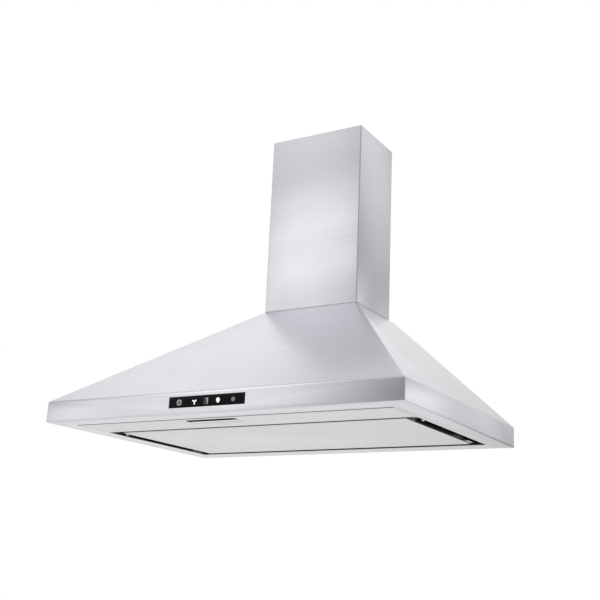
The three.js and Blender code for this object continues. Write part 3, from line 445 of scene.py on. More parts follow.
MATERIAL_MAKERS = {
    "brushed_steel": lambda look: brushed_steel("Brushed Steel", look.steel, 0.3),
    "panel_steel": lambda look: brushed_steel("Underside Steel", look.under_steel, 0.34),
    "galvanised_steel": lambda look: sheet_metal("Galvanised Steel", (0.42, 0.44, 0.45), 0.42, 140.0),
    "zinc_plate": lambda look: sheet_metal("Zinc Plate", (0.6, 0.61, 0.62), 0.27, 400.0),
    "filter_aluminium": lambda look: sheet_metal("Filter Aluminium", (0.62, 0.63, 0.64), 0.36, 500.0),
    "grey_plastic": lambda look: plastic("Grey Plastic", (0.26, 0.27, 0.28), 0.55, 0.06 * MM),
    "black_plastic": lambda look: plastic("Black Plastic", (0.02, 0.02, 0.022), 0.5, 0.06 * MM),
    "black_glass": lambda look: control_glass_material(look.glass),
    "circuit_board": lambda look: circuit_board_material(),
    # Black enamel, partly painted shade: it darkens the gaps round the suction panel.
    "black_enamel": lambda look: black_enamel_and_gap_shade_material(),
    "black_rubber": lambda look: plastic("Black Rubber", (0.016, 0.016, 0.016), 0.75, 0.04 * MM),
    "frosted_lens": lambda look: frosted_lens_material(),
}
READY = {}


def finish_for(slot_name):
    """The material for one of the record's slots, made once."""
    if slot_name not in READY:
        READY[slot_name] = MATERIAL_MAKERS[slot_name](bpy.context.scene.hood_finish)
    return READY[slot_name]


# ------------------------------------------------------------------ mesh helpers


def place_piece(name, mesh, body, slot_name, material=None):
    """Adds a mesh as a piece that rides on a body, with the finish of a slot or one of its own."""
    piece = bpy.data.objects.new(name, mesh)
    bpy.context.scene.collection.objects.link(piece)
    mesh.materials.clear()
    mesh.materials.append(material or finish_for(slot_name))
    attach(piece, body)
    return piece


def mesh_from(name, shape):
    mesh = bpy.data.meshes.new(name)
    shape.to_mesh(mesh)
    shape.free()
    return mesh


def rectangle(u0, v0, u1, v1):
    """The corner points (u, v) of a rectangle."""
    return [(u0, v0), (u1, v0), (u1, v1), (u0, v1)]


def rounded_outline(low, high, radius, steps=6):
    """The corner points (u, v) of a rectangle with rounded corners."""
    (u0, v0), (u1, v1) = low, high
    middles = (
        (u1 - radius, v1 - radius), (u0 + radius, v1 - radius),
        (u0 + radius, v0 + radius), (u1 - radius, v0 + radius),
    )
    points = []
    for quarter, (u, v) in enumerate(middles):
        for i in range(steps + 1):
            angle = math.radians(90 * (quarter + i / steps))
            points.append((u + radius * math.cos(angle), v + radius * math.sin(angle)))
    return points


def ring_outline(u, v, radius, count=32):
    """The points (u, v) of a circle."""
    angles = [2 * math.pi * i / count for i in range(count)]
    return [(u + radius * math.cos(angle), v + radius * math.sin(angle)) for angle in angles]


def flat(z, corners):
    """Points (x, y) at one height."""
    return [(x, y, z) for x, y in corners]


def side_face(lower, upper, i):
    """The face that joins two rings of four corners, from corner i to the next."""
    j = (i + 1) % 4
    return [lower[i], lower[j], upper[j], upper[i]]


def add_plate(shape, outline, holes=()):
    """Fills a flat outline with holes in it. All are lists of corner points."""
    edges = []
    for loop in (outline, *holes):
        corners = [shape.verts.new(point) for point in loop]
        for i, corner in enumerate(corners):
            edges.append(shape.edges.new((corner, corners[(i + 1) % len(corners)])))
    bmesh.ops.triangle_fill(shape, edges=edges, use_beauty=True)


def sheet_shape(plates, looks_along):
    """One sheet from plates that share their edges. Its largest plate along a direction faces it."""
    shape = bmesh.new()
    for outline, holes in plates:
        if holes:
            add_plate(shape, outline, holes)
        else:
            shape.faces.new([shape.verts.new(point) for point in outline])
    bmesh.ops.remove_doubles(shape, verts=shape.verts, dist=WELD_REACH)
    bmesh.ops.recalc_face_normals(shape, faces=shape.faces)
    shape.normal_update()
    target = Vector(looks_along)
    facing = max(shape.faces, key=lambda face: abs(face.normal.dot(target)) * face.calc_area())
    if facing.normal.dot(target) < 0:
        bmesh.ops.reverse_faces(shape, faces=shape.faces)
    return shape


def slab_shape(outline, holes, near, far, axis):
    """A closed flat solid from an outline of (u, v) points with holes, between two levels."""
    def place(u, v, w):
        return Vector((u, v, w)) if axis == "Z" else Vector((u, w, v))

    shape = bmesh.new()
    rings = [[place(u, v, near) for u, v in loop] for loop in (outline, *holes)]
    add_plate(shape, rings[0], rings[1:])
    grown = bmesh.ops.extrude_face_region(shape, geom=shape.faces[:], use_keep_orig=True)
    moved = [item for item in grown["geom"] if isinstance(item, bmesh.types.BMVert)]
    bmesh.ops.translate(shape, verts=moved, vec=place(0, 0, far - near))
    bmesh.ops.recalc_face_normals(shape, faces=shape.faces)
    return shape


def join_rings(shape, rings):
    """Skins a row of rings that have as many corners each, and closes both ends."""
    shape.faces.new(rings[0][::-1])
    for near, far in zip(rings, rings[1:]):
        for i in range(len(near)):
            j = (i + 1) % len(near)
            shape.faces.new((near[i], near[j], far[j], far[i]))
    shape.faces.new(rings[-1])


def tube_shape(path, radius, sides):
    """A closed round wire along a path that never runs along Y."""
    shape = bmesh.new()
    rings = []
    for i, point in enumerate(path):
        ahead = (path[min(i + 1, len(path) - 1)] - path[max(i - 1, 0)]).normalized()
        out = ahead.cross(Vector((0, 1, 0))).normalized()
        up = ahead.cross(out)
        ring = []
        for j in range(sides):
            angle = 2 * math.pi * j / sides
            ring.append(shape.verts.new(point + radius * (math.cos(angle) * out + math.sin(angle) * up)))
        rings.append(ring)
    join_rings(shape, rings)
    bmesh.ops.recalc_face_normals(shape, faces=shape.faces)
    return shape


def turned_shape(profile, x, y, count=28):
    """A closed solid turned about the upright axis at x, y, from points (radius, height)."""
    shape = bmesh.new()
    rings = []
    for radius, z in profile:
        rings.append([shape.verts.new((u, v, z)) for u, v in ring_outline(x, y, radius, count)])
    join_rings(shape, rings)
    bmesh.ops.recalc_face_normals(shape, faces=shape.faces)
    return shape


# Edges are rounded, and shaded hard, where their faces meet at more than these angles in degrees.
FOLD_ANGLE = 20
RIM_ANGLE = 60
EDGE_ANGLE = 35
HARD_SHEET_ANGLE = 40
HARD_SOLID_ANGLE = 50
RIM_SHARE = 0.3                  # of a sheet's thickness, taken off its rims
NODE_EDGE = 0.4 * MM             # rounding of a kept node's edges
WELD_REACH = 0.01 * MM           # corners nearer than this are one


def add_bevel(piece, name, width, segments, angle):
    bevel = piece.modifiers.new(name, "BEVEL")
    bevel.width = width
    bevel.segments = segments
    bevel.limit_method = "ANGLE"
    bevel.angle_limit = math.radians(angle)
    bevel.use_clamp_overlap = True


def shade_smooth(piece):
    for face in piece.data.polygons:
        face.use_smooth = True


def shade_smooth_by_angle(piece, degrees):
    """Smooth shading, with edges sharper than an angle kept hard."""
    shade_smooth(piece)
    split = piece.modifiers.new("hard_edges", "EDGE_SPLIT")
    split.split_angle = math.radians(degrees)


def bend_and_thicken(piece, radius, thickness, segments=4, rims=True):
    """Rounds a sheet's folds and gives it its thickness, and takes the edge off its rims."""
    add_bevel(piece, "folds", radius, segments, FOLD_ANGLE)
    thick = piece.modifiers.new("sheet", "SOLIDIFY")
    thick.thickness = thickness
    thick.offset = -1.0
    thick.use_even_offset = True
    if rims:
        add_bevel(piece, "rims", RIM_SHARE * thickness, 2, RIM_ANGLE)
    shade_smooth_by_angle(piece, HARD_SHEET_ANGLE)


def soften(piece, width, segments=2):
    """Rounds a solid's sharp edges."""
    add_bevel(piece, "edges", width, segments, EDGE_ANGLE)
    shade_smooth_by_angle(piece, HARD_SOLID_ANGLE)


def soften_node(node, width=NODE_EDGE):
    """Gives a kept node its finish and rounds its sharp edges a little."""
    piece = NODES[node]
    slot_name = SLOT_OF[node]
    piece.data.materials.clear()
    piece.data.materials.append(finish_for(slot_name))
    weld = piece.modifiers.new("weld", "WELD")
    weld.merge_threshold = WELD_REACH
    add_bevel(piece, "edges", width, 2, EDGE_ANGLE)


# ------------------------------------------------------------------ pieces


DUCT_HOLE_RADIUS = 71 * MM       # in the canopy's top, under the collar


class HOOD_OT_canopy(bpy.types.Operator):
    """Build the folded steel canopy with its band, slopes and flanges."""

    bl_idname = "hood.canopy"
    bl_label = "Canopy"

    def execute(self, context):
        shape = context.scene.hood_shape
        half, front = CANOPY_HIGH.x, CANOPY_LOW.y
        corners = rectangle(-half, front, half, 0)
        rim = flat(RIM, corners)
        band_top = flat(RIM + shape.band_height, corners)
        crest = flat(CANOPY_HIGH.z, rectangle(-CHIMNEY_HIGH.x, CHIMNEY_LOW.y, CHIMNEY_HIGH.x, 0))
        collar = centre("outlet_collar")
        duct_hole = flat(CANOPY_HIGH.z, ring_outline(collar.x, collar.y, DUCT_HOLE_RADIUS, 48))
        plates = [(side_face(rim, band_top, 0), [self.glass_window(front)])]
        plates += [(side_face(rim, band_top, i), []) for i in (1, 3)]
        plates += [(side_face(band_top, crest, i), []) for i in (0, 1, 3)]
        plates.append((crest, [duct_hole]))
        plates.append((self.flange(half, front, half - shape.side_flange, front + shape.front_flange), []))
        mesh = mesh_from("canopy", sheet_shape(plates, (0, -1, 0)))
        piece = place_piece("canopy", mesh, BODY_OF["canopy_shell"], "brushed_steel")
        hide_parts("canopy_shell")
        bend_and_thicken(piece, shape.fold_radius, shape.sheet)
        return {"FINISHED"}

    def glass_window(self, front):
        low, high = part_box("control_glass")
        hole = rectangle(low.x - SEAT_GAP, low.z - SEAT_GAP, high.x + SEAT_GAP, high.z + SEAT_GAP)
        return [(x, front, z) for x, z in hole]

    def flange(self, half, front, inner_half, inner_front):
        """The level flange under the front and the sides, open towards the wall."""
        return flat(RIM, [
            (-half, 0), (-half, front), (half, front), (half, 0),
            (inner_half, 0), (inner_half, inner_front), (-inner_half, inner_front), (-inner_half, 0),
        ])


CHIMNEY_LIP = 10 * MM            # return at the cover's rear edges
UPPER_COVER_EDGE = 0.3 * MM


class HOOD_OT_chimney(bpy.types.Operator):
    """Build the lower chimney cover, and soften the upper one and its wall bracket."""

    bl_idname = "hood.chimney"
    bl_label = "Chimney"

    def execute(self, context):
        shape = context.scene.hood_shape
        plates = []
        path = self.cover_path(CHIMNEY_LOW, CHIMNEY_HIGH)
        foot, top = CHIMNEY_LOW.z, CHIMNEY_HIGH.z
        for (x0, y0), (x1, y1) in zip(path, path[1:]):
            plates.append(([(x0, y0, foot), (x1, y1, foot), (x1, y1, top), (x0, y0, top)], []))
        mesh = mesh_from("lower_cover", sheet_shape(plates, (0, -1, 0)))
        piece = place_piece("lower_cover", mesh, BODY_OF["chimney_lower_cover"], "brushed_steel")
        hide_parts("chimney_lower_cover")
        bend_and_thicken(piece, shape.fold_radius, shape.sheet)
        soften_node("chimney_upper_cover", UPPER_COVER_EDGE)
        soften_node("chimney_wall_bracket")
        return {"FINISHED"}

    def cover_path(self, low, high):
        """The open path of a U-shaped cover with a narrow return at each rear edge."""
        return [
            (low.x + CHIMNEY_LIP, high.y), (low.x, high.y), (low.x, low.y),
            (high.x, low.y), (high.x, high.y), (high.x - CHIMNEY_LIP, high.y),
        ]


STRIP_FOLD_RADIUS = 0.6 * MM
LIP_LIFT = 1.3 * MM              # strips' side lips over the flanges
LIP_SETBACK = 16 * MM            # strips' ends next to the panel, where they have no lip
FRONT_RISE = 6 * MM              # front strip's edge behind the seam, folded up
FRONT_RISE_INSET = 1 * MM
SLOT_RIM = 6 * MM                # lamp housing's outside to the lamp slot
SLOT_CORNER = 5 * MM


class HOOD_OT_strips(bpy.types.Operator):
    """Build the front strip, joggled over the flange and slotted for the lamp, and the rear strip."""

    bl_idname = "hood.strips"
    bl_label = "Front and Rear Strips"

    def execute(self, context):
        shape = context.scene.hood_shape
        half = CANOPY_HIGH.x - shape.side_flange - SEAT_GAP
        self.make_front(shape, half)
        self.make_rear(shape, half)
        return {"FINISHED"}

    def make_front(self, shape, half):
        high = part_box("front_strip")[1]
        front = CANOPY_LOW.y + shape.front_flange + shape.seam
        housing_low, housing_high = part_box("lamp_housing")
        slot = rounded_outline(
            (housing_low.x + SLOT_RIM, housing_low.y + SLOT_RIM),
            (housing_high.x - SLOT_RIM, housing_high.y - SLOT_RIM), SLOT_CORNER,
        )
        plates = [(flat(RIM, rectangle(-half, front, half, high.y)), [flat(RIM, slot)])]
        rise = RIM + FRONT_RISE
        inner = half - FRONT_RISE_INSET
        plates.append((
            [(-half, front, RIM), (half, front, RIM), (inner, front, rise), (-inner, front, rise)], []
        ))
        self.add_side_lips(plates, half, high.x, front, high.y - LIP_SETBACK)
        self.finish_strip("front_strip", plates, shape)

    def make_rear(self, shape, half):
        low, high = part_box("rear_strip")
        plates = [(flat(RIM, rectangle(-half, low.y, half, high.y)), [])]
        self.add_side_lips(plates, half, high.x, low.y + LIP_SETBACK, high.y)
        self.finish_strip("rear_strip", plates, shape)

    def add_side_lips(self, plates, half, reach, front, rear):
        """A step up and a lip over the flange at each end of a strip."""
        over = RIM + LIP_LIFT
        for _, side in SIDES:
            x, end = side * half, side * reach
            plates.append(([(x, front, RIM), (x, rear, RIM), (x, rear, over), (x, front, over)], []))
            plates.append((flat(over, rectangle(x, front, end, rear)), []))

    def finish_strip(self, node, plates, shape):
        mesh = mesh_from(node + "_sheet", sheet_shape(plates, (0, 0, -1)))
        piece = place_piece(node + "_sheet", mesh, BODY_OF[node], "panel_steel")
        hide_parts(node)
        bend_and_thicken(piece, STRIP_FOLD_RADIUS, shape.sheet, segments=3, rims=False)


class HOOD_OT_suction_panel(bpy.types.Operator):
    """Build the suction panel, a shallow pan with rounded folds and corners."""

    bl_idname = "hood.suction_panel"
    bl_label = "Suction Panel"

    def execute(self, context):
        shape = context.scene.hood_shape
        low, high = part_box("perimeter_panel")
        corners = rectangle(low.x, low.y, high.x, high.y)
        face, edge = flat(low.z, corners), flat(high.z, corners)
        plates = [(face, [])]
        plates += [(side_face(face, edge, i), []) for i in range(4)]
        mesh = mesh_from("suction_pan", sheet_shape(plates, (0, 0, -1)))
        piece = place_piece("suction_pan", mesh, BODY_OF["perimeter_panel"], "panel_steel")
        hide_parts("perimeter_panel")
        bend_and_thicken(piece, shape.pan_radius, shape.sheet, segments=5)
        return {"FINISHED"}


GLASS_SETBACK = 0.1 * MM         # glass's face behind its node's, for the marks' thickness
GLASS_CORNER = 0.8 * MM
GLASS_EDGE = 0.35 * MM
MARK_LIFT = 0.09 * MM            # marks stand this far before the glass's face
WINDOW_LIFT = 0.04 * MM
MARK_DEPTH = 0.1 * MM            # and reach this far into it
KEYS_DROP = 0.6 * MM             # glass's middle down to the keys' line
# From the glass's left edge to each key's middle.
POWER_KEY = 22.5 * MM
FAN_KEY = 55.5 * MM
LEVEL_KEY = 80 * MM
LAMP_KEY = 105.5 * MM
TIMER_KEY = 137 * MM
# Shares of the key size.
LAMP_MARK = 0.86
TIMER_MARK = 0.78
POWER_RING = 1.3 * MM            # width of its line
POWER_GAP = 0.35 * MM            # from the ring's inside to the cross
CROSS_ARM = 1 * MM               # width
WINDOW_CORNER = 0.5 * MM
BAR_CORNER = 0.3 * MM
# Looks of the marks: share of the marks' colour, and the strength of their own light.
MARK_LOOKS = {
    "Lit Mark": (1.0, 0.35),
    "Pale Mark": (0.55, 0.15),
    "Dim Mark": (0.2, 0.05),
    "Unlit Window": (0.025, 0.0),
}
# One fan blade: angle in degrees from its middle, and radius as a share of the key size.
FAN_BLADE = ((-58, 0.11), (-24, 0.3), (-17, 0.44), (4, 0.5), (20, 0.45), (24, 0.3))


class HOOD_OT_controls(bpy.types.Operator):
    """Build the touch glass and the lit marks printed behind it."""

    bl_idname = "hood.controls"
    bl_label = "Touch Controls"

    def execute(self, context):
        low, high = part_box("control_glass")
        self.face = low.y + GLASS_SETBACK
        outline = rounded_outline((low.x, low.z), (high.x, high.z), GLASS_CORNER)
        mesh = mesh_from("touch_glass", slab_shape(outline, [], self.face, high.y, "Y"))
        glass = place_piece("touch_glass", mesh, BODY_OF["control_glass"], "black_glass")
        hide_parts("control_glass")
        soften(glass, GLASS_EDGE)
        marks = context.scene.hood_finish.marks
        looks = {}
        for name, (share, strength) in MARK_LOOKS.items():
            looks[name] = lit_mark(name, tuple(share * value for value in marks), strength)
        size = context.scene.hood_shape.key_size
        middle = (low.z + high.z) / 2 - KEYS_DROP
        self.add_power(low.x + POWER_KEY, middle, size, looks["Pale Mark"])
        self.add_fan(low.x + FAN_KEY, middle, size, looks["Lit Mark"])
        self.add_level(low.x + LEVEL_KEY, middle, size, looks["Unlit Window"], looks["Pale Mark"])
        self.add_lamp(low.x + LAMP_KEY, middle, size * LAMP_MARK, looks["Lit Mark"])
        self.add_timer(low.x + TIMER_KEY, middle, size * TIMER_MARK, looks["Dim Mark"])
        return {"FINISHED"}

    def mark(self, name, material, outline, holes=(), lift=MARK_LIFT):
        mesh = mesh_from(name, slab_shape(outline, holes, self.face - lift, self.face + MARK_DEPTH, "Y"))
        return place_piece(name, mesh, BODY_OF["control_glass"], "frosted_lens", material)

    def add_power(self, x, z, size, material):
        """A ring with a slanted cross in it."""
        outer, inner = size / 2, size / 2 - POWER_RING
        self.mark("power_ring", material, ring_outline(x, z, outer), [ring_outline(x, z, inner)])
        arm, half = inner - POWER_GAP, CROSS_ARM / 2
        cross = []
        for quarter in range(4):
            turn = math.radians(90 * quarter + 45)
            for across, along in ((-half, arm), (half, arm), (half, half)):
                cross.append((
                    x + along * math.cos(turn) + across * math.sin(turn),
                    z + along * math.sin(turn) - across * math.cos(turn),
                ))
        self.mark("power_cross", material, cross)

    def add_fan(self, x, z, size, material):
        """Three blades round a small middle."""
        blades = []
        for third in range(3):
            turn = math.radians(120 * third + 30)
            for angle, radius in FAN_BLADE:
                at = turn + math.radians(angle)
                blades.append((x + size * radius * math.cos(at), z + size * radius * math.sin(at)))
        self.mark("fan_blades", material, blades)

    def add_level(self, x, z, size, dark, pale):
        """Four bars, wider towards the top, in an unlit window."""
        left, right, tall = x - 0.45 * size, x + 0.5 * size, 0.58 * size
        window = rounded_outline((left, z - tall), (right, z + tall), WINDOW_CORNER)
        self.mark("level_window", dark, window, lift=WINDOW_LIFT)
        end = x + 0.42 * size
        for step in range(4):
            low = z + (0.27 * step - 0.5) * size
            reach = (0.18 + 0.07 * step) * size
            bar = rounded_outline((end - reach, low), (end, low + 0.17 * size), BAR_CORNER, 3)
            self.mark(f"level_bar_{step + 1}", pale, bar)

    def add_lamp(self, x, z, size, material):
        """A round globe on a narrow cap."""
        globe = []
        for angle in range(-50, 231, 14):
            turn = math.radians(angle)
            globe.append((x + 0.44 * size * math.cos(turn), z + 0.06 * size + 0.44 * size * math.sin(turn)))
        globe += [(x - 0.17 * size, z - 0.5 * size), (x + 0.17 * size, z - 0.5 * size)]
        self.mark("lamp_globe", material, globe)

    def add_timer(self, x, z, size, material):
        self.mark("timer_dial", material, ring_outline(x, z, size / 2))


LENS_RIM = 3.2 * MM              # node's edge to the face that shows in the slot
LENS_FRONT_GAP = 0.1 * MM
LENS_LIFT = 0.2 * MM             # face above the strip's underside
LENS_CORNER = 4.5 * MM
LENS_EDGE = 0.6 * MM
# The black ring round the lens is painted shade at the slot's edge.
SHADE_RING_WIDTH = 1 * MM
SHADE_RING_LIFT = 0.25 * MM
SHADE_RING_CORNER = 5 * MM
SHADE_RING_EDGE = 0.2 * MM


class HOOD_OT_lamp(bpy.types.Operator):
    """Build the frosted lamp lens with rounded ends, and the black ring round it, which is painted shade at
    the slot's edge.
    """

    bl_idname = "hood.lamp"
    bl_label = "Lamp"

    def execute(self, context):
        low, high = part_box("lamp_lens")
        left, right, rear = low.x + LENS_RIM, high.x - LENS_RIM, high.y - LENS_RIM
        face = rounded_outline((left, low.y + LENS_FRONT_GAP), (right, rear), LENS_CORNER)
        mesh = mesh_from("lens_face", slab_shape(face, [], low.z + LENS_LIFT, high.z, "Z"))
        lens = place_piece("lens_face", mesh, BODY_OF["lamp_lens"], "frosted_lens")
        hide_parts("lamp_lens")
        soften(lens, LENS_EDGE, 3)
        # A black rubber ring runs round the lens, as painted shade where the slot's edge shades it.
        seam = rounded_outline(
            (left - SHADE_RING_WIDTH, low.y - SHADE_RING_WIDTH), (right + SHADE_RING_WIDTH, rear + SHADE_RING_WIDTH), SHADE_RING_CORNER
        )
        mesh = mesh_from("lens_shade_ring", slab_shape(seam, [face], low.z + SHADE_RING_LIFT, high.z, "Z"))
        shade_ring = place_piece("lens_shade_ring", mesh, BODY_OF["lamp_lens"], "black_rubber")
        soften(shade_ring, SHADE_RING_EDGE)
        return {"FINISHED"}


# The lattice: two layers at shares of the pack's depth, and strands of a three-cornered section.
LATTICE_LAYERS = (0.12, 0.5)
STRAND = 0.45 * MM
STRAND_SECTION = ((0.9, -0.3), (-0.9, -0.3), (0.0, 0.9))
MESH_STEP = 0.75                 # shares of the mesh pitch
MESH_RISE = 0.5
STRANDS_MEET = 0.92              # how far a strand's peaks reach towards the next strand


class HOOD_OT_filter_mesh(bpy.types.Operator):
    """Build the stretched aluminium lattice of the two grease filters."""

    bl_idname = "hood.filter_mesh"
    bl_label = "Filter Mesh"

    def execute(self, context):
        pitch = context.scene.hood_shape.mesh_pitch
        for label, _ in SIDES:
            node = f"filter_mesh_{label}"
            name = f"filter_lattice_{label}"
            low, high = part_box(node)
            shape = bmesh.new()
            for layer, share in enumerate(LATTICE_LAYERS):
                self.add_layer(shape, low, high, low.z + share * (high.z - low.z), pitch, layer)
            piece = place_piece(name, mesh_from(name, shape), BODY_OF[node], "filter_aluminium")
            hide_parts(node)
            shade_smooth(piece)
        return {"FINISHED"}

    def add_layer(self, shape, low, high, z, pitch, layer):
        """Strands that zigzag across the filter and meet their neighbours, as stretched sheet does."""
        step, rise = pitch * MESH_STEP, pitch * MESH_RISE
        count = int((high.x - low.x - 2 * STRAND) / step)
        rows = int((high.y - low.y - 2 * STRAND - rise) / rise)
        start_x = (low.x + high.x - count * step) / 2
        start_y = (low.y + high.y - rows * rise) / 2
        for row in range(rows):
            rings = []
            for i in range(count + 1):
                raised = (i + row + layer) % 2
                x = start_x + i * step
                y = start_y + (row + (STRANDS_MEET if raised else 0.0)) * rise
                rings.append([
                    shape.verts.new((x, y + STRAND * u, z + STRAND * w)) for u, w in STRAND_SECTION
                ])
            join_rings(shape, rings)
        bmesh.ops.recalc_face_normals(shape, faces=shape.faces)


SPRING_TURNS = 3
SPRING_STEPS = 24                # points in each turn
SPRING_WIRE = 0.25 * MM          # radius


class HOOD_OT_springs(bpy.types.Operator):
    """Wind the two small springs behind the filter latches."""

    bl_idname = "hood.springs"
    bl_label = "Latch Springs"

    def execute(self, context):
        for label, _ in SIDES:
            node = f"latch_spring_{label}"
            low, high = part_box(node)
            mesh = mesh_from(f"coil_{label}", tube_shape(self.coil_path(low, high), SPRING_WIRE, 8))
            piece = place_piece(f"coil_{label}", mesh, BODY_OF[node], "zinc_plate")
            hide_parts(node)
            shade_smooth(piece)
            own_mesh(piece)
        return {"FINISHED"}

    def coil_path(self, low, high):
        """The middle of the wire, wound about Y inside a box."""
        middle = (low + high) / 2
        radius = (high.x - low.x) / 2 - SPRING_WIRE
        length = high.y - low.y - 2 * SPRING_WIRE
        count = SPRING_TURNS * SPRING_STEPS
        path = []
        for i in range(count + 1):
            turn = 2 * math.pi * i / SPRING_STEPS
            path.append(Vector((
                middle.x + radius * math.cos(turn), low.y + SPRING_WIRE + length * i / count,
                middle.z + radius * math.sin(turn),
            )))
        return path


# Nodes that keep the shape they have in the frame. The paired ones end in _left and _right.
KEPT_NODES = (
    "back_panel", "inner_tray", "panel_backing", "filter_front_rail", "filter_rear_rail",
    "lamp_board", "lamp_housing", "control_board", "control_housing",
    "blower_plate", "impeller", "motor_shaft", "motor", "motor_bracket",
    "motor_grommet_1", "motor_grommet_2", "motor_grommet_3",
    "outlet_collar", "damper_flap_front", "damper_flap_rear",
    "mains_box", "mains_box_lid", "cable_gland", "run_capacitor", "capacitor_clip",
    "control_harness", "motor_lead",
)
PAIRED_NODES = (
    "hinge_arm", "hinge_pin", "hinge_bracket", "catch_plate", "catch_magnet",
    "filter_frame", "filter_latch", "scroll_half", "inlet_ring", "collar_screw",
)

RIVET_INSET = 8 * MM             # catch plate's outer end to the rivet's middle
RIVET_SETBACK = 4 * MM           # catch plate's rear edge to the rivet's middle
# The rivet's head, from its tip up to the plate: radius, and distance below the plate.
RIVET_HEAD = (
    (0.8 * MM, 2.3 * MM), (1.8 * MM, 2.0 * MM), (2.5 * MM, 1.3 * MM), (2.9 * MM, 0.4 * MM), (3.0 * MM, 0.0),
)


class HOOD_OT_fittings(bpy.types.Operator):
    """Give every kept node its finish and softened edges."""

    bl_idname = "hood.fittings"
    bl_label = "Fittings"

    def execute(self, context):
        for node in KEPT_NODES:
            soften_node(node)
        for label, side in SIDES:
            for stem in PAIRED_NODES:
                soften_node(f"{stem}_{label}")
            self.add_rivet(label, side)
        return {"FINISHED"}

    def add_rivet(self, label, side):
        """The domed rivet that shows in the side gap, under the panel's catch plate."""
        node = f"catch_plate_{label}"
        name = f"catch_rivet_{label}"
        low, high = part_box(node)
        x = side * (max(abs(low.x), abs(high.x)) - RIVET_INSET)
        profile = [(radius, low.z - below) for radius, below in RIVET_HEAD]
        shape = turned_shape(profile, x, high.y - RIVET_SETBACK)
        rivet = place_piece(name, mesh_from(name, shape), BODY_OF[node], "zinc_plate")
        shade_smooth_by_angle(rivet, HARD_SOLID_ANGLE)


# The levels of the glows and softboxes come from a least-squares fit: each light was rendered alone,
# and the sum was fitted to tones read from the photograph. They are rounded to steps of 0.05. Only
# the first two glows were given, not fitted. The fit gave the default of Mirrored Floor too.

# Broad glows that glossy surfaces see: heading and height in degrees, tightness, level.
GLOSS_GLOWS = (
    (-15.0, 10.0, 4.0, 0.45),
    (-172.0, 8.0, 8.0, 0.35),
    (-131.0, 48.0, 13.0, 0.85),
    (-125.0, 3.0, 20.0, 0.3),
    (60.0, 60.0, 8.0, 0.9),
    (65.0, 22.0, 20.0, 0.45),
    (105.0, 20.0, 20.0, 0.25),
    (115.0, 30.0, 16.0, 0.55),
    (125.0, 54.0, 7.0, 0.2),
    (150.0, 42.0, 20.0, 0.7),
    (118.0, -9.0, 20.0, 0.6),
    (135.0, -9.0, 20.0, 0.5),
)

# The front softboxes stand in a plane before the hood: one row for the band, from left to right,
# and one column for the chimney, from the foot up. The mirrored sheets show them as soft bands.
FRONT_PLANE = -1.3
BAND_ROW_START = -1.6
BAND_ROW_HEIGHT = -0.04
BAND_BOX_TALL = 0.56
BAND_BOXES = ((0.5, 0.7), (0.3, 0.25), (0.3, 0.45), (0.3, 0.4), (0.3, 0.2))    # width, radiance
CHIMNEY_COLUMN_START = 0.24
CHIMNEY_COLUMN_X = -0.66
CHIMNEY_BOX_WIDE = 1.1
CHIMNEY_BOXES = ((0.22, 0.75), (0.16, 0.35), (0.16, 0.85), (0.16, 0.35), (0.18, 0.5))    # height, radiance

# The softboxes behind the hood, on its right: name, place, the way they face, width, height, radiance.
REAR_SOFTBOXES = (
    ("rear_softbox_1", (0.55, 1.1, 0.08), (0, -1, 0), 0.3, 0.44, 0.35),
    ("rear_softbox_2", (0.85, 1.1, -0.02), (0, -1, 0), 0.4, 0.24, 0.2),
    ("rear_softbox_3", (1.45, 1.1, 0.08), (0, -1, 0), 0.9, 0.76, 0.25),
    ("right_softbox", (1.45, 0.9, 0.0), (-1.075, -1.3, -0.17), 0.7, 0.5, 0.45),
)

ENERGY_PER_RADIANCE = 4.0        # of an area lamp, for each square metre
FLOOR_REACH = 6.0
FULL_WHITE = (1, 1, 1, 1)


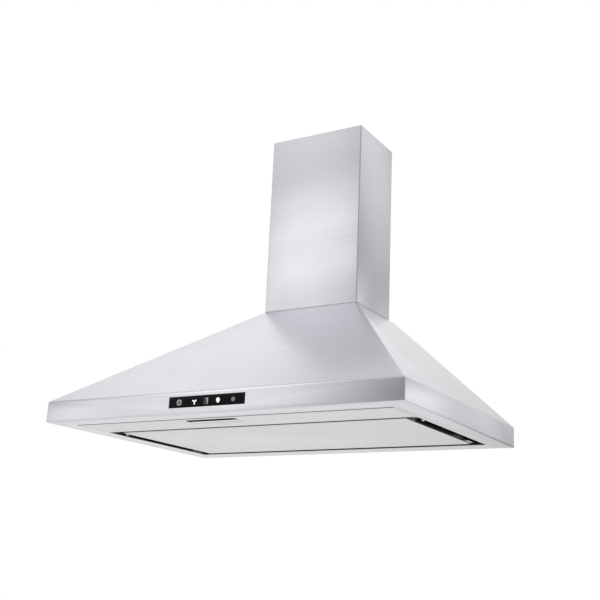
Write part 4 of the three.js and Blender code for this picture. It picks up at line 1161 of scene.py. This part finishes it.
class HOOD_OT_stage(bpy.types.Operator):
    """Set up the camera, the lamps, the surroundings and the floor."""

    bl_idname = "hood.stage"
    bl_label = "Stage"

    def execute(self, context):
        stage = context.scene.hood_stage
        context.scene.view_settings.view_transform = "Standard"
        self.make_camera(context, stage)
        self.make_floor(stage)
        self.make_world(stage)
        self.add_front_softboxes()
        for softbox in REAR_SOFTBOXES:
            self.add_softbox(*softbox)
        return {"FINISHED"}

    def make_camera(self, context, stage):
        data = bpy.data.cameras.new("camera")
        data.sensor_width = 36.0
        data.lens = stage.focal_length
        camera = bpy.data.objects.new("camera", data)
        context.scene.collection.objects.link(camera)
        turn = (
            Matrix.Rotation(stage.camera_yaw, 3, "Z")
            @ Matrix.Rotation(stage.camera_pitch, 3, "X")
            @ Matrix.Rotation(stage.camera_roll, 3, "Y")
            @ Matrix.Rotation(math.radians(90), 3, "X")
        )
        camera.matrix_world = Matrix.Translation(stage.camera_place) @ turn.to_4x4()
        context.scene.camera = camera

    def make_floor(self, stage):
        mesh = bpy.data.meshes.new("floor")
        corners = rectangle(-FLOOR_REACH, -FLOOR_REACH, FLOOR_REACH, FLOOR_REACH)
        mesh.from_pydata(flat(RIM - stage.floor_drop, corners), [], [(0, 1, 2, 3)])
        floor = bpy.data.objects.new("floor", mesh)
        bpy.context.scene.collection.objects.link(floor)
        mesh.materials.append(self.floor_material(stage))

    def floor_material(self, stage):
        """Pale and matt, as bright as the background where the metal mirrors it, clear from below."""
        made = bpy.data.materials.new("Pale Floor")
        made.use_nodes = True
        made.node_tree.nodes.clear()
        graph = Graph(made.node_tree)
        matt = graph.add("ShaderNodeBsdfPrincipled", {"Base Color": (0.85, 0.85, 0.85, 1), "Roughness": 0.6})
        bright = graph.add("ShaderNodeEmission", {"Strength": stage.mirrored_floor})
        mirrored = graph.add("ShaderNodeLightPath").outputs["Is Glossy Ray"]
        mixed = graph.add("ShaderNodeMixShader", {0: mirrored, 1: matt.outputs[0], 2: bright.outputs[0]})
        clear = graph.add("ShaderNodeBsdfTransparent")
        underneath = graph.add("ShaderNodeNewGeometry").outputs["Backfacing"]
        sided = graph.add("ShaderNodeMixShader", {0: underneath, 1: mixed.outputs[0], 2: clear.outputs[0]})
        graph.add("ShaderNodeOutputMaterial", {"Surface": sided.outputs[0]})
        return made

    def make_world(self, stage):
        """White where the camera and glass look through, soft light for the rest, and for gloss a
        studio that is brightest behind the hood."""
        world = bpy.data.worlds.new("studio")
        bpy.context.scene.world = world
        world.use_nodes = True
        world.node_tree.nodes.clear()
        graph = Graph(world.node_tree)
        paths = graph.add("ShaderNodeLightPath").outputs
        looking = graph.add("ShaderNodeTexCoord").outputs["Generated"]
        gloss = stage.gloss_light
        for heading, height, spread, level in GLOSS_GLOWS:
            across = math.cos(math.radians(height))
            towards = (
                across * math.cos(math.radians(heading)),
                across * math.sin(math.radians(heading)),
                math.sin(math.radians(height)),
            )
            near = graph.add(
                "ShaderNodeVectorMath", {0: looking, 1: towards}, operation="DOT_PRODUCT"
            ).outputs["Value"]
            fall = graph.math("MULTIPLY", graph.math("SUBTRACT", near, 1.0), spread)
            glow = graph.math("MULTIPLY", graph.math("EXPONENT", fall), level)
            gloss = graph.math("ADD", glow, gloss)
        seen = graph.math("MAXIMUM", paths["Is Camera Ray"], paths["Is Transmission Ray"])
        soft = graph.blend(paths["Is Glossy Ray"], stage.soft_light, gloss)
        strength = graph.blend(seen, soft, 1.0)
        light = graph.add("ShaderNodeBackground", {"Color": FULL_WHITE, "Strength": strength})
        graph.add("ShaderNodeOutputWorld", {"Surface": light.outputs[0]})

    def add_front_softboxes(self):
        towards = (0, 1, 0)
        left = BAND_ROW_START
        for number, (width, radiance) in enumerate(BAND_BOXES, 1):
            name = f"band_softbox_{number}"
            place = (left + width / 2, FRONT_PLANE, BAND_ROW_HEIGHT)
            self.add_softbox(name, place, towards, width, BAND_BOX_TALL, radiance)
            left += width
        foot = CHIMNEY_COLUMN_START
        for number, (height, radiance) in enumerate(CHIMNEY_BOXES, 1):
            name = f"chimney_softbox_{number}"
            place = (CHIMNEY_COLUMN_X, FRONT_PLANE, foot + height / 2)
            self.add_softbox(name, place, towards, CHIMNEY_BOX_WIDE, height, radiance)
            foot += height

    def add_softbox(self, name, place, towards, width, height, radiance):
        """A lamp that the camera doesn't see. Its power follows from its size and radiance."""
        data = bpy.data.lights.new(name, "AREA")
        data.shape = "RECTANGLE"
        data.size = width
        data.size_y = height
        data.energy = ENERGY_PER_RADIANCE * width * height * radiance
        lamp = bpy.data.objects.new(name, data)
        bpy.context.scene.collection.objects.link(lamp)
        lamp.visible_camera = False
        lamp.location = place
        lamp.rotation_mode = "QUATERNION"
        lamp.rotation_quaternion = Vector(towards).to_track_quat("-Z", "Y")


OPERATORS = (
    HOOD_OT_stage, HOOD_OT_canopy, HOOD_OT_chimney, HOOD_OT_strips, HOOD_OT_suction_panel,
    HOOD_OT_controls, HOOD_OT_lamp, HOOD_OT_filter_mesh, HOOD_OT_springs, HOOD_OT_fittings,
)


class HOOD_PT_main(bpy.types.Panel):
    """Lists the steps that build the hood."""

    bl_idname = "HOOD_PT_main"
    bl_label = "Range Hood"
    bl_space_type = "VIEW_3D"
    bl_region_type = "UI"
    bl_category = "Range Hood"

    def draw(self, context):
        for group in (context.scene.hood_shape, context.scene.hood_finish, context.scene.hood_stage):
            for name in group.__annotations__:
                self.layout.prop(group, name)
        for operator in OPERATORS:
            self.layout.operator(operator.bl_idname)


SETTINGS = {"hood_shape": HoodShape, "hood_finish": HoodFinish, "hood_stage": HoodStage}
CLASSES = (*SETTINGS.values(), *OPERATORS, HOOD_PT_main)


def register():
    for made in CLASSES:
        bpy.utils.register_class(made)
    for name, group in SETTINGS.items():
        setattr(bpy.types.Scene, name, PointerProperty(type=group))


def unregister():
    for name in SETTINGS:
        delattr(bpy.types.Scene, name)
    for made in reversed(CLASSES):
        bpy.utils.unregister_class(made)


def main():
    """Builds everything in order, the stage first."""
    register()
    for operator in OPERATORS:
        group, action = operator.bl_idname.split(".")
        getattr(getattr(bpy.ops, group), action)()


if __name__ == "__main__":
    main()
